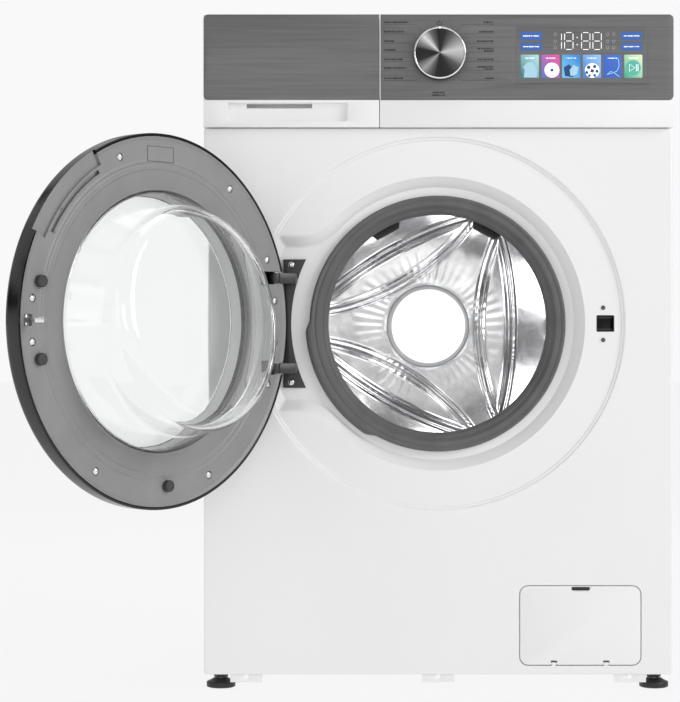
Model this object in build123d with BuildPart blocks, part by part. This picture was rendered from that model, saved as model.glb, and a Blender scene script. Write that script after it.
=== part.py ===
from build123d import *
import math
import os

os.makedirs("parts", exist_ok=True)

# Frame: +Z up, front face towards -Y, origin on the floor at the middle of the cabinet's footprint.
# Millimetres. "Depth" is measured from the cabinet's front face towards the back.

# ---- cabinet -------------------------------------------------------------------------------
CAB_WIDTH = 595.0
CAB_DEPTH = 495.0
CAB_TOP = 856.0
CAB_BOTTOM = 19.0
SHEET = 1.2
FRONT_TOP = CAB_TOP - 143.0
FRONT_RETURN = 16.0
TOP_HEIGHT = 20.0
TOP_EDGE = 6.0
BASE_THICK = 3.0
REAR_INSET = 4.0
FACE_Y = -CAB_DEPTH / 2

# ---- door opening in the front panel -------------------------------------------------------
DRUM_Z = 465.0
DISH_R = 234.0
DISH_DEPTH = 4.0
BOWL_RING_R = 187.0
SEAT_R = 174.0
SEAT_DEPTH = 18.0
MOUTH_R = 158.0
POCKET_HALF = 111.0
POCKET_DRAFT = 40.0

# ---- door ----------------------------------------------------------------------------------
DOOR_R = 225.0
DOOR_GAP = 8.0
DOOR_OPEN_ANGLE = 131.0
RIM_DEPTH = 27.0
RIM_ROUND = 12.0
RIM_WALL = 3.0
HINGE_X = -207.0
HINGE_AHEAD = 14.0
HINGE_ARM_Z = 57.0
HINGE_ARM_TALL = 13.0
HINGE_PIN_R = 3.0
KNUCKLE_R = 6.5
RUNNING_FIT = 0.06
WINDOW_R = 151.0
GLASS_R = 156.5
GLASS_WALL = 4.0
BOWL_DEPTH = 76.0
BOWL_END_R = 122.0
BOWL_LEAN = 0.16
BOWL_EDGE_R = 20.0
SCREW_RING_R = 204.0
BUMPER_RING_R = 197.0
GRIP_START, GRIP_END = 27.0, 62.0
GRIP_R = 206.0
GRIP_DEPTH = 5.0
DOOR_SCREW_ANGLES = (7, 71, 126, 157, 172, 187, 202, 246, 301, 353)
BUMPER_ANGLES = (13, 267, 347)

# ---- gasket --------------------------------------------------------------------------------
GASKET_R = 162.4
GASKET_LIP_R = 139.2
GASKET_LIP_DEPTH = 30.0
NOZZLE_ANGLE = 62.0
NOZZLE_R = 137.5
NOZZLE_DEPTH = 60.0

# ---- tub and drum --------------------------------------------------------------------------
TUB_R = 250.0
TUB_WALL = 4.0
TUB_FRONT = 66.0
TUB_SEAM = 140.0
TUB_BACK = 372.0
DRUM_R = 238.0
DRUM_SHEET = 1.0
DRUM_FRONT = 80.0
DRUM_BACK = 350.0
DRUM_MOUTH_R = 156.0
HUB_DISC_R = 51.0
HUB_BASE_R = 61.0
HUB_RISE = 24.0
RIDGE_R = 92.0
RIDGE_HALF_WIDTH = 20.0
RIDGE_HALF_LENGTH = 118.0
RIDGE_RISE = 9.0
RIDGE_TAPER = 45.0
LIFTER_TOP_R = 168.0
LIFTER_WALL = 3.0
SHAFT_R = 15.0
BEARING_R = 31.0
HUB_END = 416.0

# ---- drive ---------------------------------------------------------------------------------
PULLEY_R = 140.0
MOTOR_PULLEY_R = 12.0
BELT_THICK = 3.5
BELT_GAP = 0.3
BELT_START = 426.0
BELT_END = 440.0
MOTOR_X = -60.0
MOTOR_Z = 128.0
MOTOR_R = 58.0

# ---- controls ------------------------------------------------------------------------------
PANEL_BOTTOM = CAB_TOP - 108.4
PANEL_AHEAD = 10.0
PANEL_THICK = 2.0
PANEL_CORNER = 6.0
SPLIT_X = -74.7
SPLIT_GAP = 0.8
KNOB_X = 1.0
KNOB_Z = CAB_TOP - 50.5
KNOB_R = 33.5
KNOB_LENGTH = 17.0
STEM_R = 3.0
LENS_X0, LENS_X1 = 98.0, 264.0
LENS_Z0, LENS_Z1 = CAB_TOP - 87.0, CAB_TOP - 16.0
LENS_FIT = 0.15

# ---- detergent drawer ----------------------------------------------------------------------
TRAY_X0, TRAY_X1 = 15.5 - CAB_WIDTH / 2, -94.0
TRAY_Z0, TRAY_Z1 = CAB_TOP - 121.0, CAB_TOP - 58.0
TRAY_LENGTH = 232.0
TRAY_WALL = 2.0
HOUSING_CLEAR = 2.0

# ---- filter flap ---------------------------------------------------------------------------
FLAP_X0, FLAP_X1 = 104.0, 257.0
FLAP_Z0, FLAP_Z1 = 31.4, 131.4
FLAP_CORNER = 11.0
FLAP_GAP = 1.2
FLAP_THICK = 2.2
FLAP_PIVOT_DEPTH = 1.4
FLAP_PIVOT_RISE = 1.6
FLAP_PIN_R = 0.8
FLAP_EARS = (147.0, 213.5)
FILTER_X, FILTER_Z = 160.0, 80.0
FILTER_R = 32.0

# ---- lock, feet, base ----------------------------------------------------------------------
LOCK_X0, LOCK_X1 = 202.0, 223.5
LOCK_HALF = 10.0
LATCH_X = 217.0
SPRING_X, SPRING_D = CAB_WIDTH / 2 - 25.5, 280.0
TUB_LUG_Z, BRACKET_Z = 556.0, CAB_TOP - 30.0
FOOT_X, FOOT_INSET = CAB_WIDTH / 2 - 20.5, 25.0
FOOT_R, FOOT_PAD = 18.5, 12.0
STUD_R = 4.0
STUD_FIT = 0.08
TAB_SPACING = CAB_WIDTH / 2 - 53.9
TAB_WIDTH, TAB_BOTTOM, TAB_HOLE_R = 41.0, 9.0, 3.0
SCREW_R = 4.0
SPIGOT_R = 13.2
INLET_X, INLET_Z = 67.5 - CAB_WIDTH / 2, CAB_TOP - 76.0
DRAIN_X, DRAIN_Z = CAB_WIDTH / 2 - 61.5, CAB_TOP - 156.0
GLAND_X, GLAND_Z = 57.5 - CAB_WIDTH / 2, 130.0
TRANSIT_X, TRANSIT_Z = 150.0, (300.0, 640.0)
REAR_SCREW_X = CAB_WIDTH / 2 - 9.5

DRUM_AXIS = Axis((0, 0, DRUM_Z), (0, 1, 0))
HINGE_AXIS = Axis((HINGE_X, FACE_Y - HINGE_AHEAD, 0), (0, 0, 1))
HALF_W = CAB_WIDTH / 2
INNER_W = HALF_W - SHEET
PARTS = []
DOOR_PARTS = []


def keep(builder, name, group=PARTS):
    """Name a finished piece and put it on a list."""
    builder.part.label = name
    group.append(builder.part)


def depth_plane(depth):
    """The vertical plane at a depth, with local x along X and local y along Z."""
    return Plane.XZ.offset(-(FACE_Y + depth))


def slab(x0, x1, d0, d1, z0, z1, mode=Mode.ADD, corner=0.0):
    """A block between two widths, depths and heights, with corners rounded as seen from the front."""
    with BuildSketch(depth_plane(d0)) as outline:
        with Locations(((x0 + x1) / 2, (z0 + z1) / 2)):
            if corner > 0:
                RectangleRounded(x1 - x0, z1 - z0, corner)
            else:
                Rectangle(x1 - x0, z1 - z0)
    extrude(outline.sketch, amount=-(d1 - d0), mode=mode)


def rod(x, z, radius, d0, d1, mode=Mode.ADD):
    """A cylinder along the depth."""
    with BuildSketch(depth_plane(d0)) as outline:
        with Locations((x, z)):
            Circle(radius)
    extrude(outline.sketch, amount=-(d1 - d0), mode=mode)


def post(x, depth, radius, z0, z1, mode=Mode.ADD):
    """An upright cylinder."""
    with BuildSketch(Plane.XY.offset(z0)) as outline:
        with Locations((x, FACE_Y + depth)):
            Circle(radius)
    extrude(outline.sketch, amount=z1 - z0, mode=mode)


def turned(points, mode=Mode.ADD):
    """A solid of revolution about the drum's axis, from (depth, radius) points."""
    with BuildSketch(Plane.YZ) as profile:
        with BuildLine():
            Polyline([(FACE_Y + d, DRUM_Z + r) for d, r in points], close=True)
        make_face()
    revolve(profile.sketch, axis=DRUM_AXIS, mode=mode)


def flap_pin(x0, x1, radius, mode=Mode.ADD):
    """A round along the filter flap's hinge line."""
    with BuildSketch(Plane.YZ.offset(x0)) as outline:
        with Locations((FACE_Y + FLAP_PIVOT_DEPTH, FLAP_Z0 + FLAP_PIVOT_RISE)):
            Circle(radius)
    extrude(outline.sketch, amount=x1 - x0, mode=mode)


def polar(radius, degrees):
    """X and Z of a point round the drum's axis."""
    angle = math.radians(degrees)
    return radius * math.cos(angle), DRUM_Z + radius * math.sin(angle)


def ribbed_tube(x, depth, z0, z1, outer, inner, pitch):
    """An upright corrugated tube."""
    count = max(2, round((z1 - z0) / pitch))
    step = (z1 - z0) / count
    points = [(inner, z0)]
    for i in range(count):
        points += [(outer - 2, z0 + i * step), (outer, z0 + (i + 0.35) * step), (outer, z0 + (i + 0.65) * step)]
    points += [(outer - 2, z1), (inner, z1)]
    with BuildSketch(depth_plane(depth)) as profile:
        with BuildLine():
            Polyline([(x + r, z) for r, z in points], close=True)
        make_face()
    revolve(profile.sketch, axis=Axis((x, FACE_Y + depth, 0), (0, 0, 1)))


# ============================ cabinet =======================================================
for name, side in (("side_panel_left", -1), ("side_panel_right", 1)):
    x0, x1 = sorted((side * INNER_W, side * HALF_W))
    lip0, lip1 = sorted((side * (INNER_W - 14), side * INNER_W))
    with BuildPart() as side_panel:
        slab(x0, x1, FRONT_RETURN, CAB_DEPTH, CAB_BOTTOM, CAB_TOP - TOP_HEIGHT)
        slab(lip0, lip1, CAB_DEPTH - REAR_INSET - SHEET, CAB_DEPTH - REAR_INSET, CAB_BOTTOM + 6, CAB_TOP - 40)
        for rib_z in (250.0, 600.0):
            slab(lip0, lip1, 120, 380, rib_z, rib_z + 2)
        arm0, arm1 = sorted((side * (SPRING_X - 10), side * INNER_W))
        slab(arm0, arm1, SPRING_D - 12, SPRING_D + 12, BRACKET_Z, BRACKET_Z + 2.5)
    keep(side_panel, name)

with BuildPart() as rear_panel:
    slab(-INNER_W, INNER_W, CAB_DEPTH - REAR_INSET, CAB_DEPTH - REAR_INSET + SHEET, CAB_BOTTOM + BASE_THICK,
         CAB_TOP - TOP_HEIGHT)
    turned([(CAB_DEPTH - REAR_INSET + SHEET, 0), (CAB_DEPTH - REAR_INSET + SHEET, 172),
            (CAB_DEPTH, 166), (CAB_DEPTH, 0)])
    turned([(CAB_DEPTH - REAR_INSET, 0), (CAB_DEPTH - REAR_INSET, 170.6), (CAB_DEPTH - SHEET, 165),
            (CAB_DEPTH - SHEET, 0)], Mode.SUBTRACT)
    with BuildSketch(depth_plane(CAB_DEPTH - REAR_INSET)):
        with Locations((0, 100)):
            with GridLocations(28, 14, 8, 4):
                SlotOverall(20, 5)
        with Locations((INLET_X, INLET_Z)):
            Circle(SPIGOT_R + 1.5)
        with Locations((DRAIN_X, DRAIN_Z)):
            Circle(12.5)
        with Locations((GLAND_X, GLAND_Z)):
            Circle(9.5)
        with Locations([(side * TRANSIT_X, z) for side in (-1, 1) for z in TRANSIT_Z]):
            Circle(11.5)
    extrude(amount=-REAR_INSET, mode=Mode.SUBTRACT)
keep(rear_panel, "rear_panel")

TOP_START = 17.0
with BuildPart() as top_cover:
    slab(-HALF_W, HALF_W, TOP_START, CAB_DEPTH, CAB_TOP - TOP_HEIGHT, CAB_TOP)
    fillet(top_cover.edges().filter_by(Axis.Y).group_by(Axis.Z)[-1], TOP_EDGE)
    slab(-HALF_W + 3, HALF_W - 3, TOP_START + 3, CAB_DEPTH - 3, CAB_TOP - TOP_HEIGHT, CAB_TOP - 4, Mode.SUBTRACT)
    for rib_x in (-150.0, 0.0, 150.0):
        slab(rib_x - 1.5, rib_x + 1.5, TOP_START + 3, CAB_DEPTH - 3, CAB_TOP - 14, CAB_TOP - 4)
keep(top_cover, "top_cover")

foot_places = [(sx * FOOT_X, d) for d in (FOOT_INSET, CAB_DEPTH - FOOT_INSET) for sx in (-1, 1)]
with BuildPart() as base_tray:
    slab(-INNER_W, INNER_W, FRONT_RETURN, CAB_DEPTH - REAR_INSET - SHEET, CAB_BOTTOM, CAB_BOTTOM + BASE_THICK)
    slab(-INNER_W, INNER_W, SHEET, FRONT_RETURN, CAB_BOTTOM + SHEET, CAB_BOTTOM + BASE_THICK)
    rail_x, rail_d = HALF_W - 7.5, CAB_DEPTH - 9
    for x0, x1, d0, d1 in ((-rail_x, 4 - rail_x, 18, rail_d), (rail_x - 4, rail_x, 18, rail_d),
                           (4 - rail_x, rail_x - 4, rail_d - 4, rail_d)):
        slab(x0, x1, d0, d1, CAB_BOTTOM + BASE_THICK, CAB_BOTTOM + 24)
    for tab in (-1, 0, 1):
        slab(tab * TAB_SPACING - TAB_WIDTH / 2, tab * TAB_SPACING + TAB_WIDTH / 2, SHEET + 1, SHEET + 3,
             TAB_BOTTOM, CAB_BOTTOM + SHEET + 0.5)
        rod(tab * TAB_SPACING, CAB_BOTTOM - 3, TAB_HOLE_R, SHEET, SHEET + 4, Mode.SUBTRACT)
    for x, d in foot_places:
        post(x, d, 11, CAB_BOTTOM + BASE_THICK, CAB_BOTTOM + 14)
        post(x, d, STUD_R + STUD_FIT, CAB_BOTTOM - 1, CAB_BOTTOM + 15, Mode.SUBTRACT)
keep(base_tray, "base_tray")

for (x, d), name in zip(foot_places, ("front_left", "front_right", "rear_left", "rear_right")):
    with BuildPart() as foot:
        post(x, d, FOOT_R, 0, FOOT_PAD)
        fillet(foot.edges().group_by(Axis.Z)[-1], 2.5)
        fillet(foot.edges().group_by(Axis.Z)[0], 1.0)
        post(x, d, STUD_R, FOOT_PAD, CAB_BOTTOM + 26)
    keep(foot, "foot_" + name)

with BuildPart() as foot_lock_nuts:
    for x, d in foot_places:
        with BuildSketch(Plane.XY.offset(FOOT_PAD + 1)):
            with Locations((x, FACE_Y + d)):
                RegularPolygon(9.2, 6)
                Circle(STUD_R + STUD_FIT, mode=Mode.SUBTRACT)
        extrude(amount=CAB_BOTTOM - FOOT_PAD - 1)
keep(foot_lock_nuts, "foot_lock_nuts")

# ============================ front panel ===================================================
SEAT_BACK = SEAT_DEPTH + SHEET
with BuildPart() as front_panel:
    slab(-HALF_W, HALF_W, 0, SHEET, CAB_BOTTOM, FRONT_TOP)
    fillet(front_panel.edges().filter_by(Axis.Z).group_by(Axis.Y)[0], 1.0)
    for x0, x1 in ((-HALF_W, -INNER_W), (INNER_W, HALF_W)):
        slab(x0, x1, SHEET, FRONT_RETURN, CAB_BOTTOM, FRONT_TOP)
    slab(-INNER_W, INNER_W, SHEET, FRONT_RETURN, CAB_BOTTOM, CAB_BOTTOM + SHEET)
    slab(-INNER_W, INNER_W, SHEET, FRONT_RETURN, FRONT_TOP - SHEET, FRONT_TOP)
    turned([(-1, 0), (-1, DISH_R + 3.5), (3, DISH_R + 3.5), (3, 0)], Mode.SUBTRACT)
    turned([(0, DISH_R + 3.6), (0, DISH_R + 3), (DISH_DEPTH, DISH_R), (DISH_DEPTH, BOWL_RING_R),
            (SEAT_DEPTH, SEAT_R), (SEAT_DEPTH, MOUTH_R), (SEAT_DEPTH + 5, MOUTH_R),
            (SEAT_DEPTH + 5, MOUTH_R + SHEET), (SEAT_BACK, MOUTH_R + SHEET), (SEAT_BACK, SEAT_R + 1),
            (DISH_DEPTH + SHEET, BOWL_RING_R + 1), (DISH_DEPTH + SHEET, DISH_R + 1), (SHEET, DISH_R + 3.6)])
    # the recess that lets the door's edge swing past the panel: a block, then its hollow
    for grow, d0, d1, mode in ((2.0, DISH_DEPTH, SEAT_BACK, Mode.ADD), (0.0, DISH_DEPTH - 0.1, SEAT_DEPTH, Mode.SUBTRACT)):
        with BuildSketch(depth_plane(d0)):
            with Locations((0, DRUM_Z)):
                Circle(DISH_R - 3 + grow)
            with Locations((-DISH_R + 75, DRUM_Z)):
                Rectangle(150 + 2 * grow, 2 * (POCKET_HALF + grow), mode=Mode.INTERSECT)
        extrude(amount=-(d1 - d0), taper=POCKET_DRAFT, mode=mode)
    turned([(DISH_DEPTH - 0.2, 0), (DISH_DEPTH - 0.2, BOWL_RING_R + 0.19), (SEAT_DEPTH, SEAT_R), (SEAT_DEPTH, 0)],
           Mode.SUBTRACT)
    turned([(SEAT_DEPTH - 1, 0), (SEAT_DEPTH - 1, MOUTH_R), (SEAT_DEPTH + 8, MOUTH_R), (SEAT_DEPTH + 8, 0)],
           Mode.SUBTRACT)
    # notches for the plinth tabs, lock slot, filter door and its hinge ears
    for tab in (-1, 0, 1):
        slab(tab * TAB_SPACING - TAB_WIDTH / 2 - 0.5, tab * TAB_SPACING + TAB_WIDTH / 2 + 0.5, SHEET, SHEET + 4,
             CAB_BOTTOM - 1, CAB_BOTTOM + SHEET, Mode.SUBTRACT)
    slab(LOCK_X0, LOCK_X1, -1, SEAT_DEPTH, DRUM_Z - LOCK_HALF, DRUM_Z + LOCK_HALF, Mode.SUBTRACT)
    slab(FLAP_X0 - FLAP_GAP, FLAP_X1 + FLAP_GAP, -1, SHEET + 1, FLAP_Z0 - FLAP_GAP, FLAP_Z1 + FLAP_GAP,
         Mode.SUBTRACT, FLAP_CORNER - 0.5)
    for x in FLAP_EARS:
        slab(x - 3, x + 3, 0.2, 7, FLAP_Z0 - 5, FLAP_Z0 + FLAP_PIVOT_RISE + 1.6)
        slab(x - 3, x + 3, -1, SHEET, FLAP_Z0 - 6, FLAP_Z0 - FLAP_GAP - 0.3, Mode.SUBTRACT)
        slab(x - 3, x + 3, 0, SHEET, FLAP_Z0 - 6, FLAP_Z0 - FLAP_GAP)
        flap_pin(x - 4, x + 4, FLAP_PIN_R + RUNNING_FIT, Mode.SUBTRACT)
keep(front_panel, "front_panel")

with BuildPart() as filter_flap:
    slab(FLAP_X0, FLAP_X1, 0, FLAP_THICK, FLAP_Z0, FLAP_Z1, corner=FLAP_CORNER)
    slab(168, 194, -1, 1.4, FLAP_Z1 - 7, FLAP_Z1 + 1, Mode.SUBTRACT)
    for x in FLAP_EARS:
        slab(x - 4, x + 4, -1, FLAP_THICK + 1, FLAP_Z0 - 1, FLAP_Z0 + 5.5, Mode.SUBTRACT)
        flap_pin(x - 6, x + 6, FLAP_PIN_R)
keep(filter_flap, "filter_flap")

with BuildPart() as hinge_plate:
    plate_d = SEAT_DEPTH - 2.5
    slab(-197, -168, plate_d, SEAT_DEPTH, DRUM_Z - 82, DRUM_Z + 82)
    rod(0, DRUM_Z, BOWL_RING_R, plate_d - 1, SEAT_DEPTH + 1, Mode.SUBTRACT)
    for z in (-75.0, 75.0):
        rod(-187, DRUM_Z + z, SCREW_R / 2, plate_d - 1, SEAT_DEPTH + 1, Mode.SUBTRACT)
    for z in (-HINGE_ARM_Z, HINGE_ARM_Z):
        with BuildSketch(Plane.XY.offset(DRUM_Z + z - HINGE_ARM_TALL / 2)):
            with Locations((HINGE_X, FACE_Y - HINGE_AHEAD)):
                Circle(KNUCKLE_R)
            with BuildLine():
                Polyline([(HINGE_X, FACE_Y - HINGE_AHEAD - 2.2), (-181, FACE_Y - 2.5),
                          (-179, FACE_Y + plate_d), (-189, FACE_Y + plate_d), (-188, FACE_Y + 1.5),
                          (HINGE_X, FACE_Y - HINGE_AHEAD + 4.0)], close=True)
            make_face()
            with Locations((HINGE_X, FACE_Y - HINGE_AHEAD)):
                Circle(HINGE_PIN_R + RUNNING_FIT, mode=Mode.SUBTRACT)
        extrude(amount=HINGE_ARM_TALL)
keep(hinge_plate, "hinge_plate")

with BuildPart() as door_lock:
    lock_d = DISH_DEPTH + SHEET
    slab(191, 233, lock_d, 48, DRUM_Z - 48, DRUM_Z + 48)
    slab(LOCK_X0, LOCK_X1, lock_d - 1, 40, DRUM_Z - LOCK_HALF, DRUM_Z + LOCK_HALF, Mode.SUBTRACT)
    for z in (-21.0, 20.0):
        rod(210, DRUM_Z + z, SCREW_R / 2, lock_d - 1, 30, Mode.SUBTRACT)
keep(door_lock, "door_lock")

with BuildPart() as front_screws:
    for z in (-75.0, 75.0):
        rod(-187, DRUM_Z + z, SCREW_R, SEAT_DEPTH - 4.5, SEAT_DEPTH - 2.5)
        rod(-187, DRUM_Z + z, SCREW_R / 2, SEAT_DEPTH - 2.5, SEAT_DEPTH)
    for z in (-21.0, 20.0):
        rod(210, DRUM_Z + z, SCREW_R * 0.7, DISH_DEPTH - 1.6, DISH_DEPTH)
keep(front_screws, "front_screws")

# ============================ top front: fascia, panel, knob ================================
PANEL_BACK = -PANEL_AHEAD + PANEL_THICK
FASCIA_X0 = SPLIT_X + SPLIT_GAP / 2
with BuildPart() as fascia:
    slab(FASCIA_X0, HALF_W, PANEL_BACK, 14, FRONT_TOP + 0.6, CAB_TOP, corner=0)
    slab(FASCIA_X0, HALF_W, -PANEL_AHEAD, PANEL_BACK, FRONT_TOP + 0.6, PANEL_BOTTOM)
    slab(FASCIA_X0 + 3, HALF_W - 3, PANEL_BACK + 3, 15, FRONT_TOP + 3.6, CAB_TOP - 3, Mode.SUBTRACT)
    rod(KNOB_X, KNOB_Z, STEM_R + 1.5, -PANEL_AHEAD, 0, Mode.SUBTRACT)
    slab(LENS_X0 + 4, LENS_X1 - 4, -PANEL_AHEAD, 0, LENS_Z0 + 4, LENS_Z1 - 4, Mode.SUBTRACT)
keep(fascia, "fascia")

with BuildPart() as control_panel:
    slab(FASCIA_X0, HALF_W, -PANEL_AHEAD, PANEL_BACK, PANEL_BOTTOM + 0.1, CAB_TOP)
    fillet(control_panel.edges().filter_by(Axis.Y).group_by(Axis.X)[-1], PANEL_CORNER)
    rod(KNOB_X, KNOB_Z, STEM_R + 1.5, -PANEL_AHEAD - 1, 0, Mode.SUBTRACT)
    slab(LENS_X0 - LENS_FIT, LENS_X1 + LENS_FIT, -PANEL_AHEAD - 1, 0, LENS_Z0 - LENS_FIT, LENS_Z1 + LENS_FIT,
         Mode.SUBTRACT, 3 + LENS_FIT)
keep(control_panel, "control_panel")

with BuildPart() as display_lens:
    slab(LENS_X0, LENS_X1, -PANEL_AHEAD, PANEL_BACK, LENS_Z0, LENS_Z1, corner=3)
keep(display_lens, "display_lens")

with BuildPart() as control_board:
    slab(-60, 275, 8, 9.6, CAB_TOP - 94, CAB_TOP - 10)
    slab(LENS_X0 + 6, LENS_X1 - 6, -6, 8, LENS_Z0 + 6, LENS_Z1 - 6)
    slab(KNOB_X - 8, KNOB_X + 8, -4, 8, KNOB_Z - 8, KNOB_Z + 8)
    rod(KNOB_X, KNOB_Z, STEM_R + RUNNING_FIT, -5, 6, Mode.SUBTRACT)
    for x in (40.0, 62.0, 84.0):
        slab(x - 7, x + 7, 2, 8, CAB_TOP - 66, CAB_TOP - 44)
keep(control_board, "control_board")

KNOB_FRONT = -PANEL_AHEAD - 1.0 - KNOB_LENGTH
with BuildPart() as selector_knob:
    rod(KNOB_X, KNOB_Z, KNOB_R, KNOB_FRONT + 2, -PANEL_AHEAD - 1)
    chamfer(selector_knob.edges().group_by(Axis.Y)[0], 1.2)
    rod(KNOB_X, KNOB_Z, KNOB_R - 2.5, -PANEL_AHEAD - 11, -PANEL_AHEAD - 1, Mode.SUBTRACT)
    rod(KNOB_X, KNOB_Z, STEM_R, -PANEL_AHEAD - 12, 4)
keep(selector_knob, "selector_knob")

with BuildPart() as knob_cap:
    rod(KNOB_X, KNOB_Z, KNOB_R - 1.5, KNOB_FRONT, KNOB_FRONT + 2)
    chamfer(knob_cap.edges().group_by(Axis.Y)[0], 0.8)
    slab(KNOB_X - 0.9, KNOB_X + 0.9, KNOB_FRONT - 1, KNOB_FRONT + 1.0, KNOB_Z + KNOB_R - 5, KNOB_Z + KNOB_R + 1,
         Mode.SUBTRACT)
keep(knob_cap, "knob_cap")

# ============================ detergent drawer ==============================================
DRAWER_X1 = SPLIT_X - SPLIT_GAP / 2
with BuildPart() as drawer_front:
    slab(-HALF_W, DRAWER_X1, -PANEL_AHEAD, PANEL_BACK, PANEL_BOTTOM + 0.1, CAB_TOP)
    fillet(drawer_front.edges().filter_by(Axis.Y).group_by(Axis.X)[0], PANEL_CORNER)
keep(drawer_front, "drawer_front")

with BuildPart() as drawer_handle:
    slab(-HALF_W, DRAWER_X1, PANEL_BACK, 14, FRONT_TOP + 0.6, CAB_TOP)
    slab(-HALF_W, DRAWER_X1, -PANEL_AHEAD, PANEL_BACK, FRONT_TOP + 0.6, PANEL_BOTTOM)
    slab(-HALF_W + 3, DRAWER_X1 - 3, PANEL_BACK + 3, 15, PANEL_BOTTOM + 3, CAB_TOP - 3, Mode.SUBTRACT)
    grip_z = FRONT_TOP + 8
    slab(-267, -115, -PANEL_AHEAD - 1, -PANEL_AHEAD + 5, grip_z, grip_z + 23, Mode.SUBTRACT, 3)
    slab(-243, -160, -PANEL_AHEAD + 4, 10, grip_z + 2, grip_z + 22, Mode.SUBTRACT)
    slab(-243, -160, -PANEL_AHEAD + 5, -PANEL_AHEAD + 7, grip_z, grip_z + 16.5)
keep(drawer_handle, "drawer_handle")

with BuildPart() as drawer_tray:
    slab(TRAY_X0, TRAY_X1, 14, TRAY_LENGTH, TRAY_Z0, TRAY_Z1)
    cell_w = (TRAY_X1 - TRAY_X0 - 4 * TRAY_WALL) / 3
    for i in range(3):
        x0 = TRAY_X0 + TRAY_WALL + i * (cell_w + TRAY_WALL)
        slab(x0, x0 + cell_w, 14 + TRAY_WALL, TRAY_LENGTH - TRAY_WALL, TRAY_Z0 + TRAY_WALL, TRAY_Z1 + 1,
             Mode.SUBTRACT)
keep(drawer_tray, "drawer_tray")

with BuildPart() as softener_cap:
    x0 = TRAY_X0 + 2 * TRAY_WALL + cell_w
    slab(x0 + 0.5, x0 + cell_w - 0.5, 70, 190, TRAY_Z0 + 28, TRAY_Z0 + 31)
    slab(x0 + cell_w / 2 - 6, x0 + cell_w / 2 + 6, 120, 132, TRAY_Z0 + TRAY_WALL + 6, TRAY_Z0 + 28)
    for d in (72.0, 186.0):
        slab(x0 + cell_w / 2 - 2, x0 + cell_w / 2 + 2, d, d + 2, TRAY_Z0 + TRAY_WALL, TRAY_Z0 + 28)
keep(softener_cap, "softener_cap")

with BuildPart() as dispenser_housing:
    hx0, hx1 = TRAY_X0 - HOUSING_CLEAR, TRAY_X1 + HOUSING_CLEAR
    hz0, hz1 = TRAY_Z0 - HOUSING_CLEAR, TRAY_Z1 + 22
    hd0, hd1 = 17.0, TRAY_LENGTH + 10
    slab(hx0 - 2.5, hx1 + 2.5, hd0, hd1 + 2.5, hz0 - 2.5, hz1 + 2.5)
    slab(hx0, hx1, hd0 - 1, hd1, hz0, hz1, Mode.SUBTRACT)
    post(-150, 190, 16, hz0 - 14, hz0 - 2.5)
    post(-150, 190, 12, hz0 - 15, hz0 + 1, Mode.SUBTRACT)
    slab(INLET_X - 20, INLET_X + 20, hd1 + 2.5, CAB_DEPTH - 45, INLET_Z - 14, INLET_Z + 14)
    slab(INLET_X - 17, INLET_X + 17, hd1 - 1, CAB_DEPTH - 46, INLET_Z - 11, INLET_Z + 11, Mode.SUBTRACT)
keep(dispenser_housing, "dispenser_housing")

# ============================ water path ====================================================
with BuildPart() as inlet_valve:
    slab(INLET_X - 20, INLET_X + 20, CAB_DEPTH - 45, CAB_DEPTH - REAR_INSET - 3, INLET_Z - 18, INLET_Z + 18)
    rod(INLET_X, INLET_Z, SPIGOT_R, CAB_DEPTH - REAR_INSET - 3, CAB_DEPTH + 14)
    rod(INLET_X, INLET_Z, 9, CAB_DEPTH - REAR_INSET + 1, CAB_DEPTH + 15, Mode.SUBTRACT)
keep(inlet_valve, "inlet_valve")

TUB_OUT = TUB_R + TUB_WALL
fill_top = TRAY_Z0 - HOUSING_CLEAR - 14
fill_bottom = DRUM_Z + math.sqrt(TUB_OUT ** 2 - 150 ** 2) + 16
with BuildPart() as fill_hose:
    ribbed_tube(-150, 190, fill_bottom, fill_top, 19, 14, 6)
keep(fill_hose, "fill_hose")

PUMP_D = 100.0
SUMP_X = 110.0
sump_top = DRUM_Z - math.sqrt(TUB_OUT ** 2 - SUMP_X ** 2) - 14
with BuildPart() as sump_hose:
    ribbed_tube(SUMP_X, PUMP_D, 122, sump_top, 26, 20, 11)
keep(sump_hose, "sump_hose")

with BuildPart() as drain_pump:
    rod(FILTER_X, FILTER_Z, FILTER_R + 8, 34, 150)
    slab(97, 262, 30, 34, 27, 136)
    rod(FILTER_X, FILTER_Z, 30, 150, 196)
    slab(SUMP_X - 28, FILTER_X, 70, 130, 70, 122)
    slab(FILTER_X - 30, FILTER_X + 30, 60, 150, CAB_BOTTOM + BASE_THICK, FILTER_Z)
    rod(FILTER_X, FILTER_Z, FILTER_R - 4, 29, 120, Mode.SUBTRACT)
    post(SUMP_X, PUMP_D, 20, 90, 123, Mode.SUBTRACT)
keep(drain_pump, "drain_pump")

with BuildPart() as filter_cap:
    rod(FILTER_X, FILTER_Z, FILTER_R, 14, 29.5)
    fillet(filter_cap.edges().group_by(Axis.Y)[0], 2)
    for side in (-1, 1):
        slab(FILTER_X + side * 18 - 11, FILTER_X + side * 18 + 11, 13, 24, FILTER_Z - 26, FILTER_Z + 26, Mode.SUBTRACT)
    rod(FILTER_X, FILTER_Z, FILTER_R, 24, 29.5)
    rod(FILTER_X, FILTER_Z, FILTER_R - 4.5, 29.5, 90)
keep(filter_cap, "filter_cap")

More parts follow.
